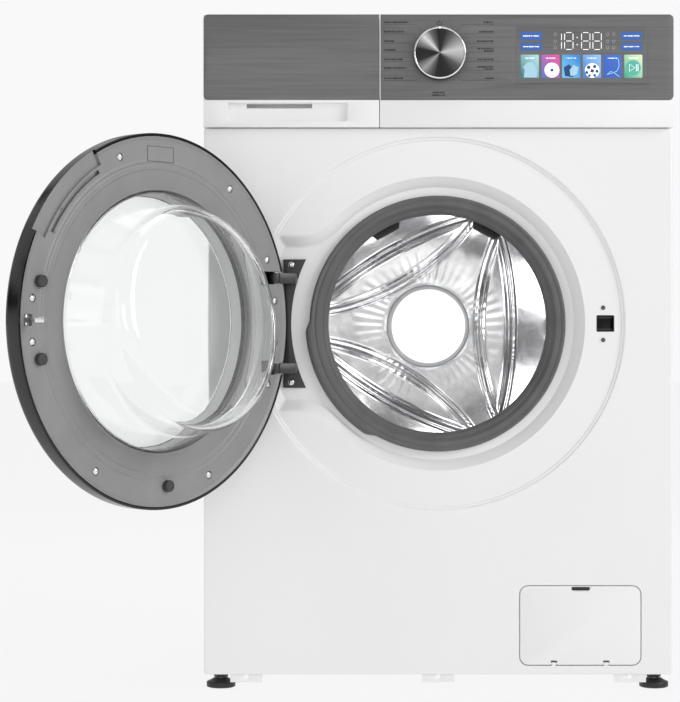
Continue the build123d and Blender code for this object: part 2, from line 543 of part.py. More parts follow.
with BuildPart() as drain_spigot:
    slab(DRAIN_X - 16, DRAIN_X + 16, CAB_DEPTH - REAR_INSET - 10, CAB_DEPTH - REAR_INSET, DRAIN_Z - 16, DRAIN_Z + 16)
    rod(DRAIN_X, DRAIN_Z, 11, CAB_DEPTH - REAR_INSET, CAB_DEPTH + 16)
    rod(DRAIN_X, DRAIN_Z, 8, CAB_DEPTH - REAR_INSET - 4, CAB_DEPTH + 17, Mode.SUBTRACT)
keep(drain_spigot, "drain_spigot")

with BuildPart() as cord_gland:
    rod(GLAND_X, GLAND_Z, 13, CAB_DEPTH - REAR_INSET - 4, CAB_DEPTH - REAR_INSET)
    rod(GLAND_X, GLAND_Z, 9, CAB_DEPTH - REAR_INSET, CAB_DEPTH + 4)
    rod(GLAND_X, GLAND_Z, 4.5, CAB_DEPTH - REAR_INSET - 5, CAB_DEPTH + 5, Mode.SUBTRACT)
keep(cord_gland, "cord_gland")

# ============================ tub ===========================================================
with BuildPart() as tub_front:
    turned([(TUB_SEAM, TUB_R), (TUB_SEAM, TUB_OUT + 7), (TUB_SEAM - 5, TUB_OUT + 7), (TUB_SEAM - 5, TUB_OUT),
            (TUB_FRONT + 12, TUB_OUT), (TUB_FRONT, TUB_OUT - 12), (TUB_FRONT, 164), (TUB_FRONT - 10, 164),
            (TUB_FRONT - 10, 160), (TUB_FRONT + TUB_WALL, 160), (TUB_FRONT + TUB_WALL, TUB_R - 9),
            (TUB_FRONT + 13, TUB_R)])
keep(tub_front, "tub_front")

with BuildPart() as tub_rear:
    hub_r = BEARING_R + 9
    turned([(TUB_SEAM, TUB_R), (TUB_SEAM, TUB_OUT + 7), (TUB_SEAM + 5, TUB_OUT + 7), (TUB_SEAM + 5, TUB_OUT),
            (TUB_BACK + TUB_WALL, TUB_OUT), (TUB_BACK + TUB_WALL, hub_r), (HUB_END, hub_r),
            (HUB_END, SHAFT_R + 3), (TUB_BACK, SHAFT_R + 3), (TUB_BACK, TUB_R)])
    for d0, d1 in ((TUB_BACK + 6, TUB_BACK + 22), (HUB_END - 16, HUB_END)):
        rod(0, DRUM_Z, BEARING_R, d0, d1 + 0.01, Mode.SUBTRACT)
    for i in range(8):
        with BuildSketch(depth_plane(TUB_BACK + TUB_WALL)):
            with Locations((0, DRUM_Z)):
                with PolarLocations(hub_r + 80, 1, start_angle=22.5 + 45 * i):
                    Rectangle(164, 5)
        extrude(amount=-12)
    with BuildSketch(Plane.XY.offset(fill_bottom - 20)):
        with Locations((-150, FACE_Y + 190)):
            Circle(19)
    extrude(amount=20)
    post(-150, 190, 14, fill_bottom - 60, fill_bottom + 1, Mode.SUBTRACT)
    for x0, x1 in ((-SPRING_X - 10, -200), (200, SPRING_X + 10)):
        slab(x0, x1, SPRING_D - 12, SPRING_D + 12, TUB_LUG_Z - 8, TUB_LUG_Z)
    slab(-30, 30, 176, 300, DRUM_Z - TUB_OUT - 12, DRUM_Z - TUB_R + 1)
    turned([(TUB_SEAM, 0), (TUB_SEAM, TUB_R), (TUB_BACK, TUB_R), (TUB_BACK, 0)], Mode.SUBTRACT)
    for x in (-18.0, 18.0):
        rod(x, DRUM_Z - 243.3, 3.3, TUB_BACK - 1, TUB_BACK + 6, Mode.SUBTRACT)
keep(tub_rear, "tub_rear")

with BuildPart() as bearings:
    for d0, d1 in ((TUB_BACK + 6, TUB_BACK + 22), (HUB_END - 16, HUB_END)):
        turned([(d0, SHAFT_R + RUNNING_FIT), (d0, BEARING_R), (d1, BEARING_R), (d1, SHAFT_R + RUNNING_FIT)])
keep(bearings, "bearings")

with BuildPart() as heater:
    for x in (-18.0, 18.0):
        rod(x, DRUM_Z - 243.3, 3.0, 150, TUB_BACK + TUB_WALL + 12)
    slab(-18, 18, 146, 152, DRUM_Z - 246.3, DRUM_Z - 240.3)
    slab(-30, 30, TUB_BACK + TUB_WALL, TUB_BACK + TUB_WALL + 6, DRUM_Z - 250, DRUM_Z - 234)
keep(heater, "heater")

with BuildPart() as counterweights:
    for start in (35.0, 215.0):
        with BuildSketch(depth_plane(38)):
            with Locations((0, DRUM_Z)):
                Circle(246)
                Circle(176, mode=Mode.SUBTRACT)
            with BuildLine():
                Polyline([(0, DRUM_Z), polar(420, start), polar(420, start + 55), polar(420, start + 110)], close=True)
            make_face(mode=Mode.INTERSECT)
        extrude(amount=-(TUB_FRONT - 38))
    slab(-60, 190, 160, 300, DRUM_Z + 190, 800)
    turned([(150, 0), (150, TUB_OUT), (310, TUB_OUT), (310, 0)], Mode.SUBTRACT)
keep(counterweights, "counterweights")

# ============================ gasket and nozzles ============================================
with BuildPart() as door_gasket:
    lip = GASKET_LIP_R
    turned([(SEAT_DEPTH, GASKET_R), (12, GASKET_R - 2), (11, 154), (16, 148), (24, lip + 2),
            (GASKET_LIP_DEPTH, lip), (GASKET_LIP_DEPTH + 5, lip + 1), (36, 148), (44, 150), (50, 148),
            (70, 148), (70, 159.5), (62, 159.5), (54, 159.5), (50, 155), (42, 156.5), (36, 155),
            (30, 148), (25, 150), (SEAT_DEPTH + 5.5, 157), (SEAT_DEPTH, 157.5)])
keep(door_gasket, "door_gasket")

with BuildPart() as spray_nozzles:
    for degrees in (NOZZLE_ANGLE, 180 - NOZZLE_ANGLE):
        with BuildSketch(depth_plane(NOZZLE_DEPTH)):
            with Locations((0, DRUM_Z)):
                with PolarLocations(NOZZLE_R, 1, start_angle=degrees):
                    Trapezoid(40, 11, 65, rotation=90)
        extrude(amount=-9)
keep(spray_nozzles, "spray_nozzles")

# ============================ drum, shaft, pulley ===========================================
with BuildPart() as drum_shell:
    turned([(DRUM_FRONT - 6, DRUM_MOUTH_R), (DRUM_FRONT - 6, DRUM_MOUTH_R + 6), (DRUM_FRONT, DRUM_MOUTH_R + 12),
            (DRUM_FRONT, DRUM_R), (DRUM_BACK, DRUM_R), (DRUM_BACK, DRUM_R - DRUM_SHEET),
            (DRUM_FRONT + DRUM_SHEET, DRUM_R - DRUM_SHEET), (DRUM_FRONT + DRUM_SHEET, DRUM_MOUTH_R + 12),
            (DRUM_FRONT - 3, DRUM_MOUTH_R + 6), (DRUM_FRONT - 3, DRUM_MOUTH_R)])
keep(drum_shell, "drum_shell")

with BuildPart() as drum_back:
    inner = DRUM_R - DRUM_SHEET
    face_d = DRUM_BACK - DRUM_SHEET
    turned([(DRUM_BACK, 0), (DRUM_BACK, inner), (DRUM_BACK - 8, inner), (DRUM_BACK - 8, inner - 1.2),
            (face_d, inner - 8), (face_d, HUB_BASE_R), (face_d - HUB_RISE, HUB_DISC_R), (face_d - HUB_RISE, 0)])
    for i in range(3):
        with BuildSketch(depth_plane(face_d)):
            with Locations((0, DRUM_Z)):
                with PolarLocations(RIDGE_R, 1, start_angle=120 * i):
                    Ellipse(RIDGE_HALF_WIDTH, RIDGE_HALF_LENGTH)
        extrude(amount=RIDGE_RISE, taper=RIDGE_TAPER)
    turned([(DRUM_BACK + 1, 39.5), (DRUM_BACK + 1, HUB_BASE_R - 3), (DRUM_BACK - 1.2, HUB_BASE_R - 3),
            (face_d + 2 - HUB_RISE, HUB_DISC_R - 3), (face_d + 2 - HUB_RISE, 39.5)], Mode.SUBTRACT)
keep(drum_back, "drum_back")

def lifter(middle, shrink, d0, d1, mode=Mode.ADD):
    """A rib on the drum's wall, narrowing towards the middle; shrink draws its outline in."""
    base_r = DRUM_R - DRUM_SHEET - 0.4 + shrink
    top_r = LIFTER_TOP_R + shrink
    half_base, half_top = 9 - shrink * 0.3, 4 - shrink * 0.3
    base_a, base_b = polar(base_r, middle - half_base), polar(base_r, middle + half_base)
    top_a, top_b = polar(top_r, middle + half_top), polar(top_r, middle - half_top)
    with BuildSketch(depth_plane(d0)) as outline:
        with BuildLine():
            ThreePointArc(base_a, polar(base_r, middle), base_b)
            Polyline([base_b, top_a, top_b, base_a])
        make_face()
    extrude(outline.sketch, amount=-(d1 - d0), mode=mode)


LIFTER_D0, LIFTER_D1 = DRUM_FRONT + 14, DRUM_BACK - 20
with BuildPart() as drum_lifters:
    for i in range(3):
        lifter(120.0 * i, 0.0, LIFTER_D0, LIFTER_D1)
    fillet(drum_lifters.edges().filter_by(Axis.Y).filter_by(
        lambda e: math.hypot(e.center().X, e.center().Z - DRUM_Z) < LIFTER_TOP_R + 3), 9)
    for i in range(3):
        lifter(120.0 * i, LIFTER_WALL, LIFTER_D0 + LIFTER_WALL, LIFTER_D1 - LIFTER_WALL, Mode.SUBTRACT)
keep(drum_lifters, "drum_lifters")

with BuildPart() as drum_spider:
    rod(0, DRUM_Z, 38, DRUM_BACK, DRUM_BACK + 14)
    with BuildSketch(depth_plane(DRUM_BACK)):
        with Locations((0, DRUM_Z)):
            with PolarLocations(120, 3, start_angle=0):
                Rectangle(210, 30)
    extrude(amount=-12)
    rod(0, DRUM_Z, SHAFT_R, DRUM_BACK + 14, BELT_END + 8)
keep(drum_spider, "drum_spider")

with BuildPart() as drum_pulley:
    turned([(BELT_START, SHAFT_R), (BELT_START, 32), (BELT_START + 5, 34), (BELT_START + 5, PULLEY_R - 8),
            (BELT_START - 1, PULLEY_R - 5), (BELT_START - 1, PULLEY_R), (BELT_END + 1, PULLEY_R),
            (BELT_END + 1, PULLEY_R - 5), (BELT_START + 9, PULLEY_R - 8), (BELT_START + 9, 34),
            (BELT_END, 32), (BELT_END, SHAFT_R)])
    with BuildSketch(depth_plane(BELT_START)):
        with Locations((0, DRUM_Z)):
            with PolarLocations(84, 5):
                Circle(25)
    extrude(amount=-16, mode=Mode.SUBTRACT)
keep(drum_pulley, "drum_pulley")

with BuildPart() as motor_rotor:
    rod(MOTOR_X, MOTOR_Z, 34, 318, 388)
    rod(MOTOR_X, MOTOR_Z, 6, 302, BELT_START - 2)
    rod(MOTOR_X, MOTOR_Z, MOTOR_PULLEY_R, BELT_START - 2, BELT_END + 3)
keep(motor_rotor, "motor_rotor")

with BuildPart() as motor_housing:
    rod(MOTOR_X, MOTOR_Z, MOTOR_R, 300, 408)
    for i in range(4):
        x = MOTOR_X + (-1) ** i * 24
        d = 316 if i < 2 else 392
        slab(x - 6, x + 6, d - 6, d + 6, CAB_BOTTOM + BASE_THICK + 40, MOTOR_Z - 40)
    slab(MOTOR_X - 45, MOTOR_X + 45, 306, 402, CAB_BOTTOM + BASE_THICK + 36, CAB_BOTTOM + BASE_THICK + 40)
    rod(MOTOR_X, MOTOR_Z, MOTOR_R - 10, 304, 404, Mode.SUBTRACT)
    rod(MOTOR_X, MOTOR_Z, 6 + RUNNING_FIT, 299, 409, Mode.SUBTRACT)
keep(motor_housing, "motor_housing")

with BuildPart() as drive_belt:
    with BuildSketch(depth_plane(BELT_START)):
        for grow, mode in ((BELT_GAP + BELT_THICK, Mode.ADD), (BELT_GAP, Mode.SUBTRACT)):
            with BuildSketch(mode=Mode.PRIVATE) as loop:
                with Locations((0, DRUM_Z)):
                    Circle(PULLEY_R + grow)
                with Locations((MOTOR_X, MOTOR_Z)):
                    Circle(MOTOR_PULLEY_R + grow)
                make_hull()
            add(loop.sketch, mode=mode)
    extrude(amount=-(BELT_END - BELT_START))
keep(drive_belt, "drive_belt")

# ============================ suspension ====================================================
with BuildPart() as suspension_springs:
    for x in (-SPRING_X, SPRING_X):
        ribbed_tube(x, SPRING_D, 640, 800, 11, 6, 5)
        post(x, SPRING_D, 6, 798, BRACKET_Z)
        post(x, SPRING_D, 6, TUB_LUG_Z, 642)
keep(suspension_springs, "suspension_springs")

with BuildPart() as dampers:
    for x in (-190.0, 190.0):
        for d in (215.0, 330.0):
            top = DRUM_Z - math.sqrt(TUB_OUT ** 2 - x ** 2)
            post(x, d, 14, CAB_BOTTOM + BASE_THICK, 175)
            post(x, d, 5, 175, top + 4)
            post(x, d, 11, top - 16, top + 3)
    turned([(150, 0), (150, TUB_OUT), (400, TUB_OUT), (400, 0)], Mode.SUBTRACT)
keep(dampers, "dampers")

# ============================ rear fasteners ================================================
with BuildPart() as rear_screws:
    for x in (-REAR_SCREW_X, REAR_SCREW_X):
        for z in (60.0, 300.0, 560.0, 800.0):
            rod(x, z, SCREW_R, CAB_DEPTH - REAR_INSET + SHEET, CAB_DEPTH - REAR_INSET + SHEET + 2)
    for x in (-240.0, 240.0):
        rod(x, CAB_TOP - 10, SCREW_R, CAB_DEPTH, CAB_DEPTH + 2)
keep(rear_screws, "rear_screws")

with BuildPart() as transit_caps:
    for x in (-TRANSIT_X, TRANSIT_X):
        for z in TRANSIT_Z:
            rod(x, z, 16, CAB_DEPTH - REAR_INSET + SHEET, CAB_DEPTH - REAR_INSET + SHEET + 2.5)
            rod(x, z, 11, CAB_DEPTH - REAR_INSET - 8, CAB_DEPTH - REAR_INSET + SHEET)
keep(transit_caps, "transit_caps")

# ============================ door, modelled closed =========================================
DOOR_Z = DRUM_Z
INNER_D = -DOOR_GAP
FRONT_D = INNER_D - RIM_DEPTH
PIN_HALF = HINGE_ARM_TALL / 2 + 6.4


def grip_recess(depth, r0, r1):
    """The hollow behind the door's edge that fingers pull, between two angles of the inner face."""
    with BuildSketch(depth_plane(INNER_D + 1)) as outline:
        with Locations((0, DOOR_Z)):
            Circle(r1)
            Circle(r0, mode=Mode.SUBTRACT)
        with BuildLine():
            Polyline([(0, DOOR_Z), polar(400, GRIP_START), polar(400, (GRIP_START + GRIP_END) / 2),
                      polar(400, GRIP_END)], close=True)
        make_face(mode=Mode.INTERSECT)
    extrude(outline.sketch, amount=depth + 1, mode=Mode.SUBTRACT)


def arm_notch(mode=Mode.SUBTRACT):
    """Clearance round the fixed hinge arms, open on the door's inner face."""
    half = HINGE_ARM_TALL / 2 + 1.5
    for z in (-HINGE_ARM_Z, HINGE_ARM_Z):
        slab(HINGE_X - 22, HINGE_X + 26, -HINGE_AHEAD - KNUCKLE_R - 2, 0, DOOR_Z + z - half, DOOR_Z + z + half, mode)


with BuildPart() as door_outer_frame:
    corner_r = DOOR_R - RIM_ROUND
    with BuildSketch(Plane.YZ):
        with BuildLine():
            y0 = FACE_Y + INNER_D
            yf = FACE_Y + FRONT_D
            Line((y0, DOOR_Z + DOOR_R - RIM_WALL), (y0, DOOR_Z + DOOR_R))
            Line((y0, DOOR_Z + DOOR_R), (yf + RIM_ROUND, DOOR_Z + DOOR_R))
            ThreePointArc((yf + RIM_ROUND, DOOR_Z + DOOR_R),
                          (yf + RIM_ROUND * (1 - math.sqrt(0.5)), DOOR_Z + corner_r + RIM_ROUND * math.sqrt(0.5)),
                          (yf, DOOR_Z + corner_r))
            Line((yf, DOOR_Z + corner_r), (yf - 7, DOOR_Z + WINDOW_R + 0.3))
            Line((yf - 7, DOOR_Z + WINDOW_R + 0.3), (yf - 4, DOOR_Z + WINDOW_R + 0.3))
            Line((yf - 4, DOOR_Z + WINDOW_R + 0.3), (yf + 4, DOOR_Z + corner_r - 2))
            Line((yf + 4, DOOR_Z + corner_r - 2), (y0, DOOR_Z + DOOR_R - RIM_WALL))
        make_face()
    revolve(axis=DRUM_AXIS)
    arm_notch()
    grip_recess(GRIP_DEPTH, GRIP_R, DOOR_R + 5)
    for z in (-HINGE_ARM_Z, HINGE_ARM_Z):
        post(HINGE_X, -HINGE_AHEAD, HINGE_PIN_R, DOOR_Z + z - PIN_HALF, DOOR_Z + z + PIN_HALF, Mode.SUBTRACT)
keep(door_outer_frame, "door_outer_frame", DOOR_PARTS)

with BuildPart() as door_window:
    turned([(FRONT_D - 4, 0), (FRONT_D - 4, WINDOW_R), (FRONT_D - 7, WINDOW_R), (FRONT_D - 9, 100),
            (FRONT_D - 9, 0)])
keep(door_window, "door_window", DOOR_PARTS)

with BuildPart() as door_inner_frame:
    seat = GLASS_R + 0.7
    rim = DOOR_R - RIM_WALL - 0.3
    turned([(INNER_D, seat), (INNER_D, seat + 24), (INNER_D - 1.5, seat + 26), (INNER_D - 1.5, rim - 3),
            (INNER_D, rim - 2), (INNER_D, rim), (INNER_D - 10, rim - 5), (INNER_D - 10, seat)])
    slab(-22, 22, INNER_D - 2.5, INNER_D + 1, DOOR_Z + 190, DOOR_Z + 210, Mode.SUBTRACT)
    arm_notch()
    grip_recess(GRIP_DEPTH, GRIP_R, DOOR_R + 5)
    grip_recess(8, GRIP_R - 8, GRIP_R + 1)
    for degrees in DOOR_SCREW_ANGLES:
        x, z = polar(SCREW_RING_R, degrees)
        rod(x, z, 4.6, INNER_D - 3, INNER_D + 1, Mode.SUBTRACT)
    for z in (-HINGE_ARM_Z, HINGE_ARM_Z):
        post(HINGE_X, -HINGE_AHEAD, HINGE_PIN_R, DOOR_Z + z - PIN_HALF, DOOR_Z + z + PIN_HALF, Mode.SUBTRACT)
    slab(LATCH_X - 15, LATCH_X - 1, INNER_D - 11, INNER_D + 1, DOOR_Z - 7, DOOR_Z + 7, Mode.SUBTRACT)
keep(door_inner_frame, "door_inner_frame", DOOR_PARTS)

def bowl_form(shrink):
    """The bowl as a solid: a cone cut by an end face that leans, deepest at the bottom."""
    with BuildPart() as form:
        turned([(INNER_D - 14, 0), (INNER_D - 14, GLASS_R - shrink), (INNER_D, GLASS_R - shrink),
                (30, GASKET_LIP_R - 2.2 - shrink), (BOWL_DEPTH + 30, BOWL_END_R - shrink), (BOWL_DEPTH + 30, 0)])
        end = Plane(origin=(0, FACE_Y + INNER_D + BOWL_DEPTH - shrink, DRUM_Z), z_dir=(0, 1, BOWL_LEAN))
        split(bisect_by=end, keep=Keep.BOTTOM)
        fillet(form.faces().sort_by(Axis.Y)[-1].edges(), BOWL_EDGE_R - shrink)
    return form.part


outer_form, inner_form = bowl_form(0.0), bowl_form(GLASS_WALL)
with BuildPart() as door_glass:
    turned([(INNER_D - 14, 0), (INNER_D - 14, GLASS_R + 8), (INNER_D - 10, GLASS_R + 8), (INNER_D - 10, 0)])
    add(outer_form)
    add(inner_form, mode=Mode.SUBTRACT)
keep(door_glass, "door_glass", DOOR_PARTS)

with BuildPart() as door_screws:
    for degrees in DOOR_SCREW_ANGLES:
        x, z = polar(SCREW_RING_R, degrees)
        rod(x, z, SCREW_R, INNER_D - 3, INNER_D - 0.5)
keep(door_screws, "door_screws", DOOR_PARTS)

with BuildPart() as door_bumpers:
    for degrees in BUMPER_ANGLES:
        x, z = polar(BUMPER_RING_R, degrees)
        rod(x, z, 7, INNER_D - 1.5, INNER_D + 6)
    fillet(door_bumpers.edges().group_by(Axis.Y)[-1], 2)
keep(door_bumpers, "door_bumpers", DOOR_PARTS)

with BuildPart() as hinge_pins:
    for z in (-HINGE_ARM_Z, HINGE_ARM_Z):
        post(HINGE_X, -HINGE_AHEAD, HINGE_PIN_R, DOOR_Z + z - PIN_HALF, DOOR_Z + z + PIN_HALF)
keep(hinge_pins, "hinge_pins", DOOR_PARTS)

with BuildPart() as latch_hook:
    with BuildSketch(Plane.XY.offset(DOOR_Z - 3)):
        with BuildLine():
            y = FACE_Y + INNER_D
            Polyline([(LATCH_X - 11, y - 9), (LATCH_X - 5, y - 9), (LATCH_X - 5, y + 20), (LATCH_X + 1, y + 20),
                      (LATCH_X - 1, y + 25), (LATCH_X - 6, y + 28), (LATCH_X - 11, y + 26)], close=True)
        make_face()
    extrude(amount=6)
    with BuildSketch(Plane.XY.offset(DOOR_Z - 6.5)):
        with Locations((LATCH_X - 8, FACE_Y + INNER_D - 5.5)):
            Circle(2)
    extrude(amount=13)
keep(latch_hook, "latch_hook", DOOR_PARTS)

# ============================ export ========================================================
# The door stands open in the modelled pose, swung about its hinge from the closed place.
for part in DOOR_PARTS:
    opened = part.rotate(HINGE_AXIS, -DOOR_OPEN_ANGLE)
    opened.label = part.label
    PARTS.append(opened)

for part in PARTS:
    export_step(part, "parts/" + part.label + ".step")
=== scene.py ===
"""Front-load washing machine: the finished pieces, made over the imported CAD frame."""
import math
import random

import bmesh
import bpy
from mathutils import Matrix, Vector


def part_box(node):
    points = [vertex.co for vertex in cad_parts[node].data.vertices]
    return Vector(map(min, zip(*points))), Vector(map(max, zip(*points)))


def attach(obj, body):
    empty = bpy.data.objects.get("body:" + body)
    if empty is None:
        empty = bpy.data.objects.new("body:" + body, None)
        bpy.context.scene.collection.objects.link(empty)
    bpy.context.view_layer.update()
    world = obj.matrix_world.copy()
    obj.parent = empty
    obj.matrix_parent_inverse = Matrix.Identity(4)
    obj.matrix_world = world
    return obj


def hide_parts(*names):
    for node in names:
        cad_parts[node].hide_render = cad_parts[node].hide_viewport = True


bl_info = {
    "name": "Washing machine pieces",
    "version": (1, 0, 0),
    "blender": (4, 5, 0),
    "location": "View3D > Sidebar > Washer",
    "description": "Builds the finished pieces of a front-load washing machine over its CAD frame",
    "category": "Object",
}

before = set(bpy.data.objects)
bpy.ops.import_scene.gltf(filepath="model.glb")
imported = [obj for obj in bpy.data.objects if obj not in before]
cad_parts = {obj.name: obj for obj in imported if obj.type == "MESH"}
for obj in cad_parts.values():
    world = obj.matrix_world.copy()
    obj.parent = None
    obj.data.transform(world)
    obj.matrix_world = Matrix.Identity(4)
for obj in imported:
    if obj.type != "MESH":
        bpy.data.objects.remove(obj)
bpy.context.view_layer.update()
MM = 0.001
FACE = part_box("front_panel")[0].y / MM
HALF_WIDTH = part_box("front_panel")[1].x / MM
DRUM_Z = sum(v.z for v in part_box("door_gasket")) / 2 / MM
DOOR_ANGLE = math.radians(-131)
HINGE_LO, HINGE_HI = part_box("hinge_pins")
HINGE = (HINGE_LO + HINGE_HI) / 2
HINGE_ARMS = (-57, 57)
LOCK_X = 210
LOCK_SCREWS = (-21, 20)
FLAP_EARS = (147.0, 213.5)
DOOR_SCREWS = (7, 71, 126, 157, 172, 187, 202, 246, 301, 353)
DOOR_SCREW_RING = 204
TO_FRONT = (math.pi / 2, 0.0, 0.0)
TO_REAR = (-math.pi / 2, 0.0, 0.0)
WELD = 2e-6


def linear(code):
    """An sRGB hex code as linear red, green, blue and alpha."""
    parts = [int(code[i:i + 2], 16) / 255 for i in (0, 2, 4)]
    return tuple(c / 12.92 if c <= 0.04045 else ((c + 0.055) / 1.055) ** 2.4 for c in parts) + (1.0,)


def colour_property(title, text, code):
    """A colour that the user may change, from an sRGB hex code."""
    return bpy.props.FloatVectorProperty(name=title, description=text, subtype="COLOR", size=4, min=0, max=1,
                                         default=linear(code))


def length_property(title, text, millimetres):
    """A length that the user may change."""
    return bpy.props.FloatProperty(name=title, description=text, unit="LENGTH", precision=5,
                                   default=millimetres * MM)


class WasherSizes(bpy.types.PropertyGroup):
    """Sizes of the finished pieces."""
    dish_radius: length_property("Dish radius", "Radius of the round pressing in the front sheet", 237.5)
    seat_radius: length_property("Seat radius", "Radius where the wall round the door seat starts", 187)
    gasket_lip: length_property("Gasket lip radius", "Inner radius of the door gasket", 139.2)
    knob_radius: length_property("Knob radius", "Radius of the selector's bright ring", 33.5)
    window_radius: length_property("Window radius", "Radius of the outer window", 151)
    glass_wall: length_property("Glass wall", "Thickness of the pressed glass bowl", 4)
    hole_pitch: length_property("Hole pitch", "Distance between the drum's drain holes", 17)
    hole_radius: length_property("Hole radius", "Radius of one drain hole", 1.7)
    edge_round: length_property("Edge round", "Radius on moulded and folded edges", 0.5)


class WasherColours(bpy.types.PropertyGroup):
    """Colours of the finishes."""
    cabinet: colour_property("Cabinet", "Baked enamel of the sheet steel", "EDEDEE")
    trim: colour_property("Trim", "White moulded ABS", "EEEEEF")
    film: colour_property("Panel film", "Brushed film on the control panel", "6F6F70")
    gasket: colour_property("Gasket", "EPDM rubber", "626263")
    rim: colour_property("Door rim", "Gloss black ABS", "0D0D0E")
    inner: colour_property("Door inner frame", "Grained grey ABS", "89898A")
    steel: colour_property("Drum steel", "Polished stainless", "D6D6D7")
    backdrop: colour_property("Backdrop", "Pale studio floor", "F9F9F9")


def sizes():
    return bpy.context.scene.washer_sizes


def colours():
    return bpy.context.scene.washer_colours


# ---- shapes --------------------------------------------------------------------------------
def at(x, depth, z):
    """A point in metres from millimetres, with the depth measured from the front sheet's face."""
    return Vector((x, FACE + depth, z)) * MM


def polar(radius, degrees, z=None):
    """X and Z in millimetres of a point round the drum's axis."""
    angle = math.radians(degrees)
    return radius * math.cos(angle), (DRUM_Z if z is None else z) + radius * math.sin(angle)


def smooth(value, low, high):
    """0 below low, 1 above high and an easy curve between."""
    t = min(max((value - low) / (high - low), 0), 1)
    return t * t * (3 - 2 * t)


def rounded(points, steps=5, closed=True):
    """(a, b) points from corners (a, b, radius), each turned by an arc of its radius."""
    out = []
    count = len(points)
    for i, corner in enumerate(points):
        here = Vector(corner[:2])
        radius = corner[2] if len(corner) > 2 else 0
        u = Vector(points[i - 1][:2]) - here
        v = Vector(points[(i + 1) % count][:2]) - here
        if radius <= 0 or u.length < 1e-6 or v.length < 1e-6 or (not closed and i in (0, count - 1)):
            out.append(tuple(here))
            continue
        turn = math.pi - u.angle(v)
        if turn < 0.02:
            out.append(tuple(here))
            continue
        reach = min(radius * math.tan(turn / 2), 0.49 * u.length, 0.49 * v.length)
        radius = reach / math.tan(turn / 2)
        u.normalize()
        v.normalize()
        centre = here + (u + v).normalized() * (radius / math.cos(turn / 2))
        start = here + u * reach - centre
        end = here + v * reach - centre
        a0 = math.atan2(start.y, start.x)
        sweep = (math.atan2(end.y, end.x) - a0 + math.pi) % (2 * math.pi) - math.pi
        for k in range(steps + 1):
            a = a0 + sweep * k / steps
            out.append((centre.x + radius * math.cos(a), centre.y + radius * math.sin(a)))
    return out


def rounded_box(x0, x1, z0, z1, radius, steps=5):
    """The outline of a rectangle with round corners."""
    return rounded([(x0, z0, radius), (x1, z0, radius), (x1, z1, radius), (x0, z1, radius)], steps)


def circle(x, z, radius, count=48):
    """The outline of a circle."""
    return [(x + radius * math.cos(2 * math.pi * i / count), z + radius * math.sin(2 * math.pi * i / count))
            for i in range(count)]


def placed(name, data):
    """A new object in the scene."""
    piece = bpy.data.objects.new(name, data)
    bpy.context.scene.collection.objects.link(piece)
    return piece


def smoothed(mesh, sharp):
    """Smooth faces, but for the edges sharper than the angle in degrees."""
    mesh.shade_smooth()
    mesh.set_sharp_from_angle(angle=math.radians(sharp))


def from_bmesh(name, bm, materials, sharp):
    """A piece from a bmesh, with its materials in order."""
    mesh = bpy.data.meshes.new(name)
    bm.to_mesh(mesh)
    bm.free()
    # stored normals from the frame would override the new shading
    if "custom_normal" in mesh.attributes:
        mesh.attributes.remove(mesh.attributes["custom_normal"])
    for material in materials:
        mesh.materials.append(material)
    smoothed(mesh, sharp)
    return placed(name, mesh)


def finish_object(name, bm, material, sharp=32, outward=True):
    """A piece from a bmesh: doubles merged, normals outwards, smooth but for its sharp edges."""
    bmesh.ops.remove_doubles(bm, verts=bm.verts, dist=WELD)
    if outward:
        bmesh.ops.recalc_face_normals(bm, faces=bm.faces)
    return from_bmesh(name, bm, [material], sharp)


def bridge(bm, one, two):
    """Closes the band between two rings of as many points each."""
    for i in range(len(one)):
        j = (i + 1) % len(one)
        bm.faces.new((one[i], one[j], two[j], two[i]))


def bake(piece, sharp=32):
    """The piece's modifiers become part of its mesh."""
    depsgraph = bpy.context.evaluated_depsgraph_get()
    mesh = bpy.data.meshes.new_from_object(piece.evaluated_get(depsgraph), depsgraph=depsgraph)
    piece.modifiers.clear()
    piece.data = mesh
    smoothed(mesh, sharp)
    return piece


def soften(piece, width=0.5, segments=2, angle=35):
    """Rounds the piece's sharp edges."""
    bevel = piece.modifiers.new("edges", "BEVEL")
    bevel.width = width * MM
    bevel.segments = segments
    bevel.limit_method = "ANGLE"
    bevel.angle_limit = math.radians(angle)
    bevel.harden_normals = False
    return bake(piece, 38)


def cut(piece, *cutters, operation="DIFFERENCE"):
    """Takes the cutters out of the piece."""
    for cutter in cutters:
        modifier = piece.modifiers.new("cut", "BOOLEAN")
        modifier.operation = operation
        modifier.solver = "EXACT"
        modifier.object = cutter
        bake(piece)
        bpy.data.objects.remove(cutter)
    return piece


def loft(name, sections, material, sharp=32, ring=True, caps=False):
    """A skin over closed sections of as many points each; ring joins the last to the first."""
    bm = bmesh.new()
    loops = [[bm.verts.new(p) for p in section] for section in sections]
    pairs = list(zip(loops, loops[1:])) + ([(loops[-1], loops[0])] if ring else [])
    for one, two in pairs:
        bridge(bm, one, two)
    if caps:
        bm.faces.new(loops[0])
        bm.faces.new(list(reversed(loops[-1])))
    return finish_object(name, bm, material, sharp)


def lathe(name, profile, material, x=0.0, z=None, segments=192, warp=None, sharp=32):
    """(depth, radius) points turned about a line along the depth; warp may move them by angle."""
    z = DRUM_Z if z is None else z
    sections = []
    for i in range(segments):
        a = 2 * math.pi * i / segments
        line = [warp(d, r, a) if warp else (d, r) for d, r in profile]
        sections.append([at(x + r * math.cos(a), d, z + r * math.sin(a)) for d, r in line])
    return loft(name, sections, material, sharp)


def upright(name, profile, material, x, depth, segments=48, sharp=32):
    """(height, radius) points turned about an upright line."""
    sections = []
    for i in range(segments):
        a = 2 * math.pi * i / segments
        sections.append([at(x + r * math.cos(a), depth + r * math.sin(a), z) for z, r in profile])
    return loft(name, sections, material, sharp)


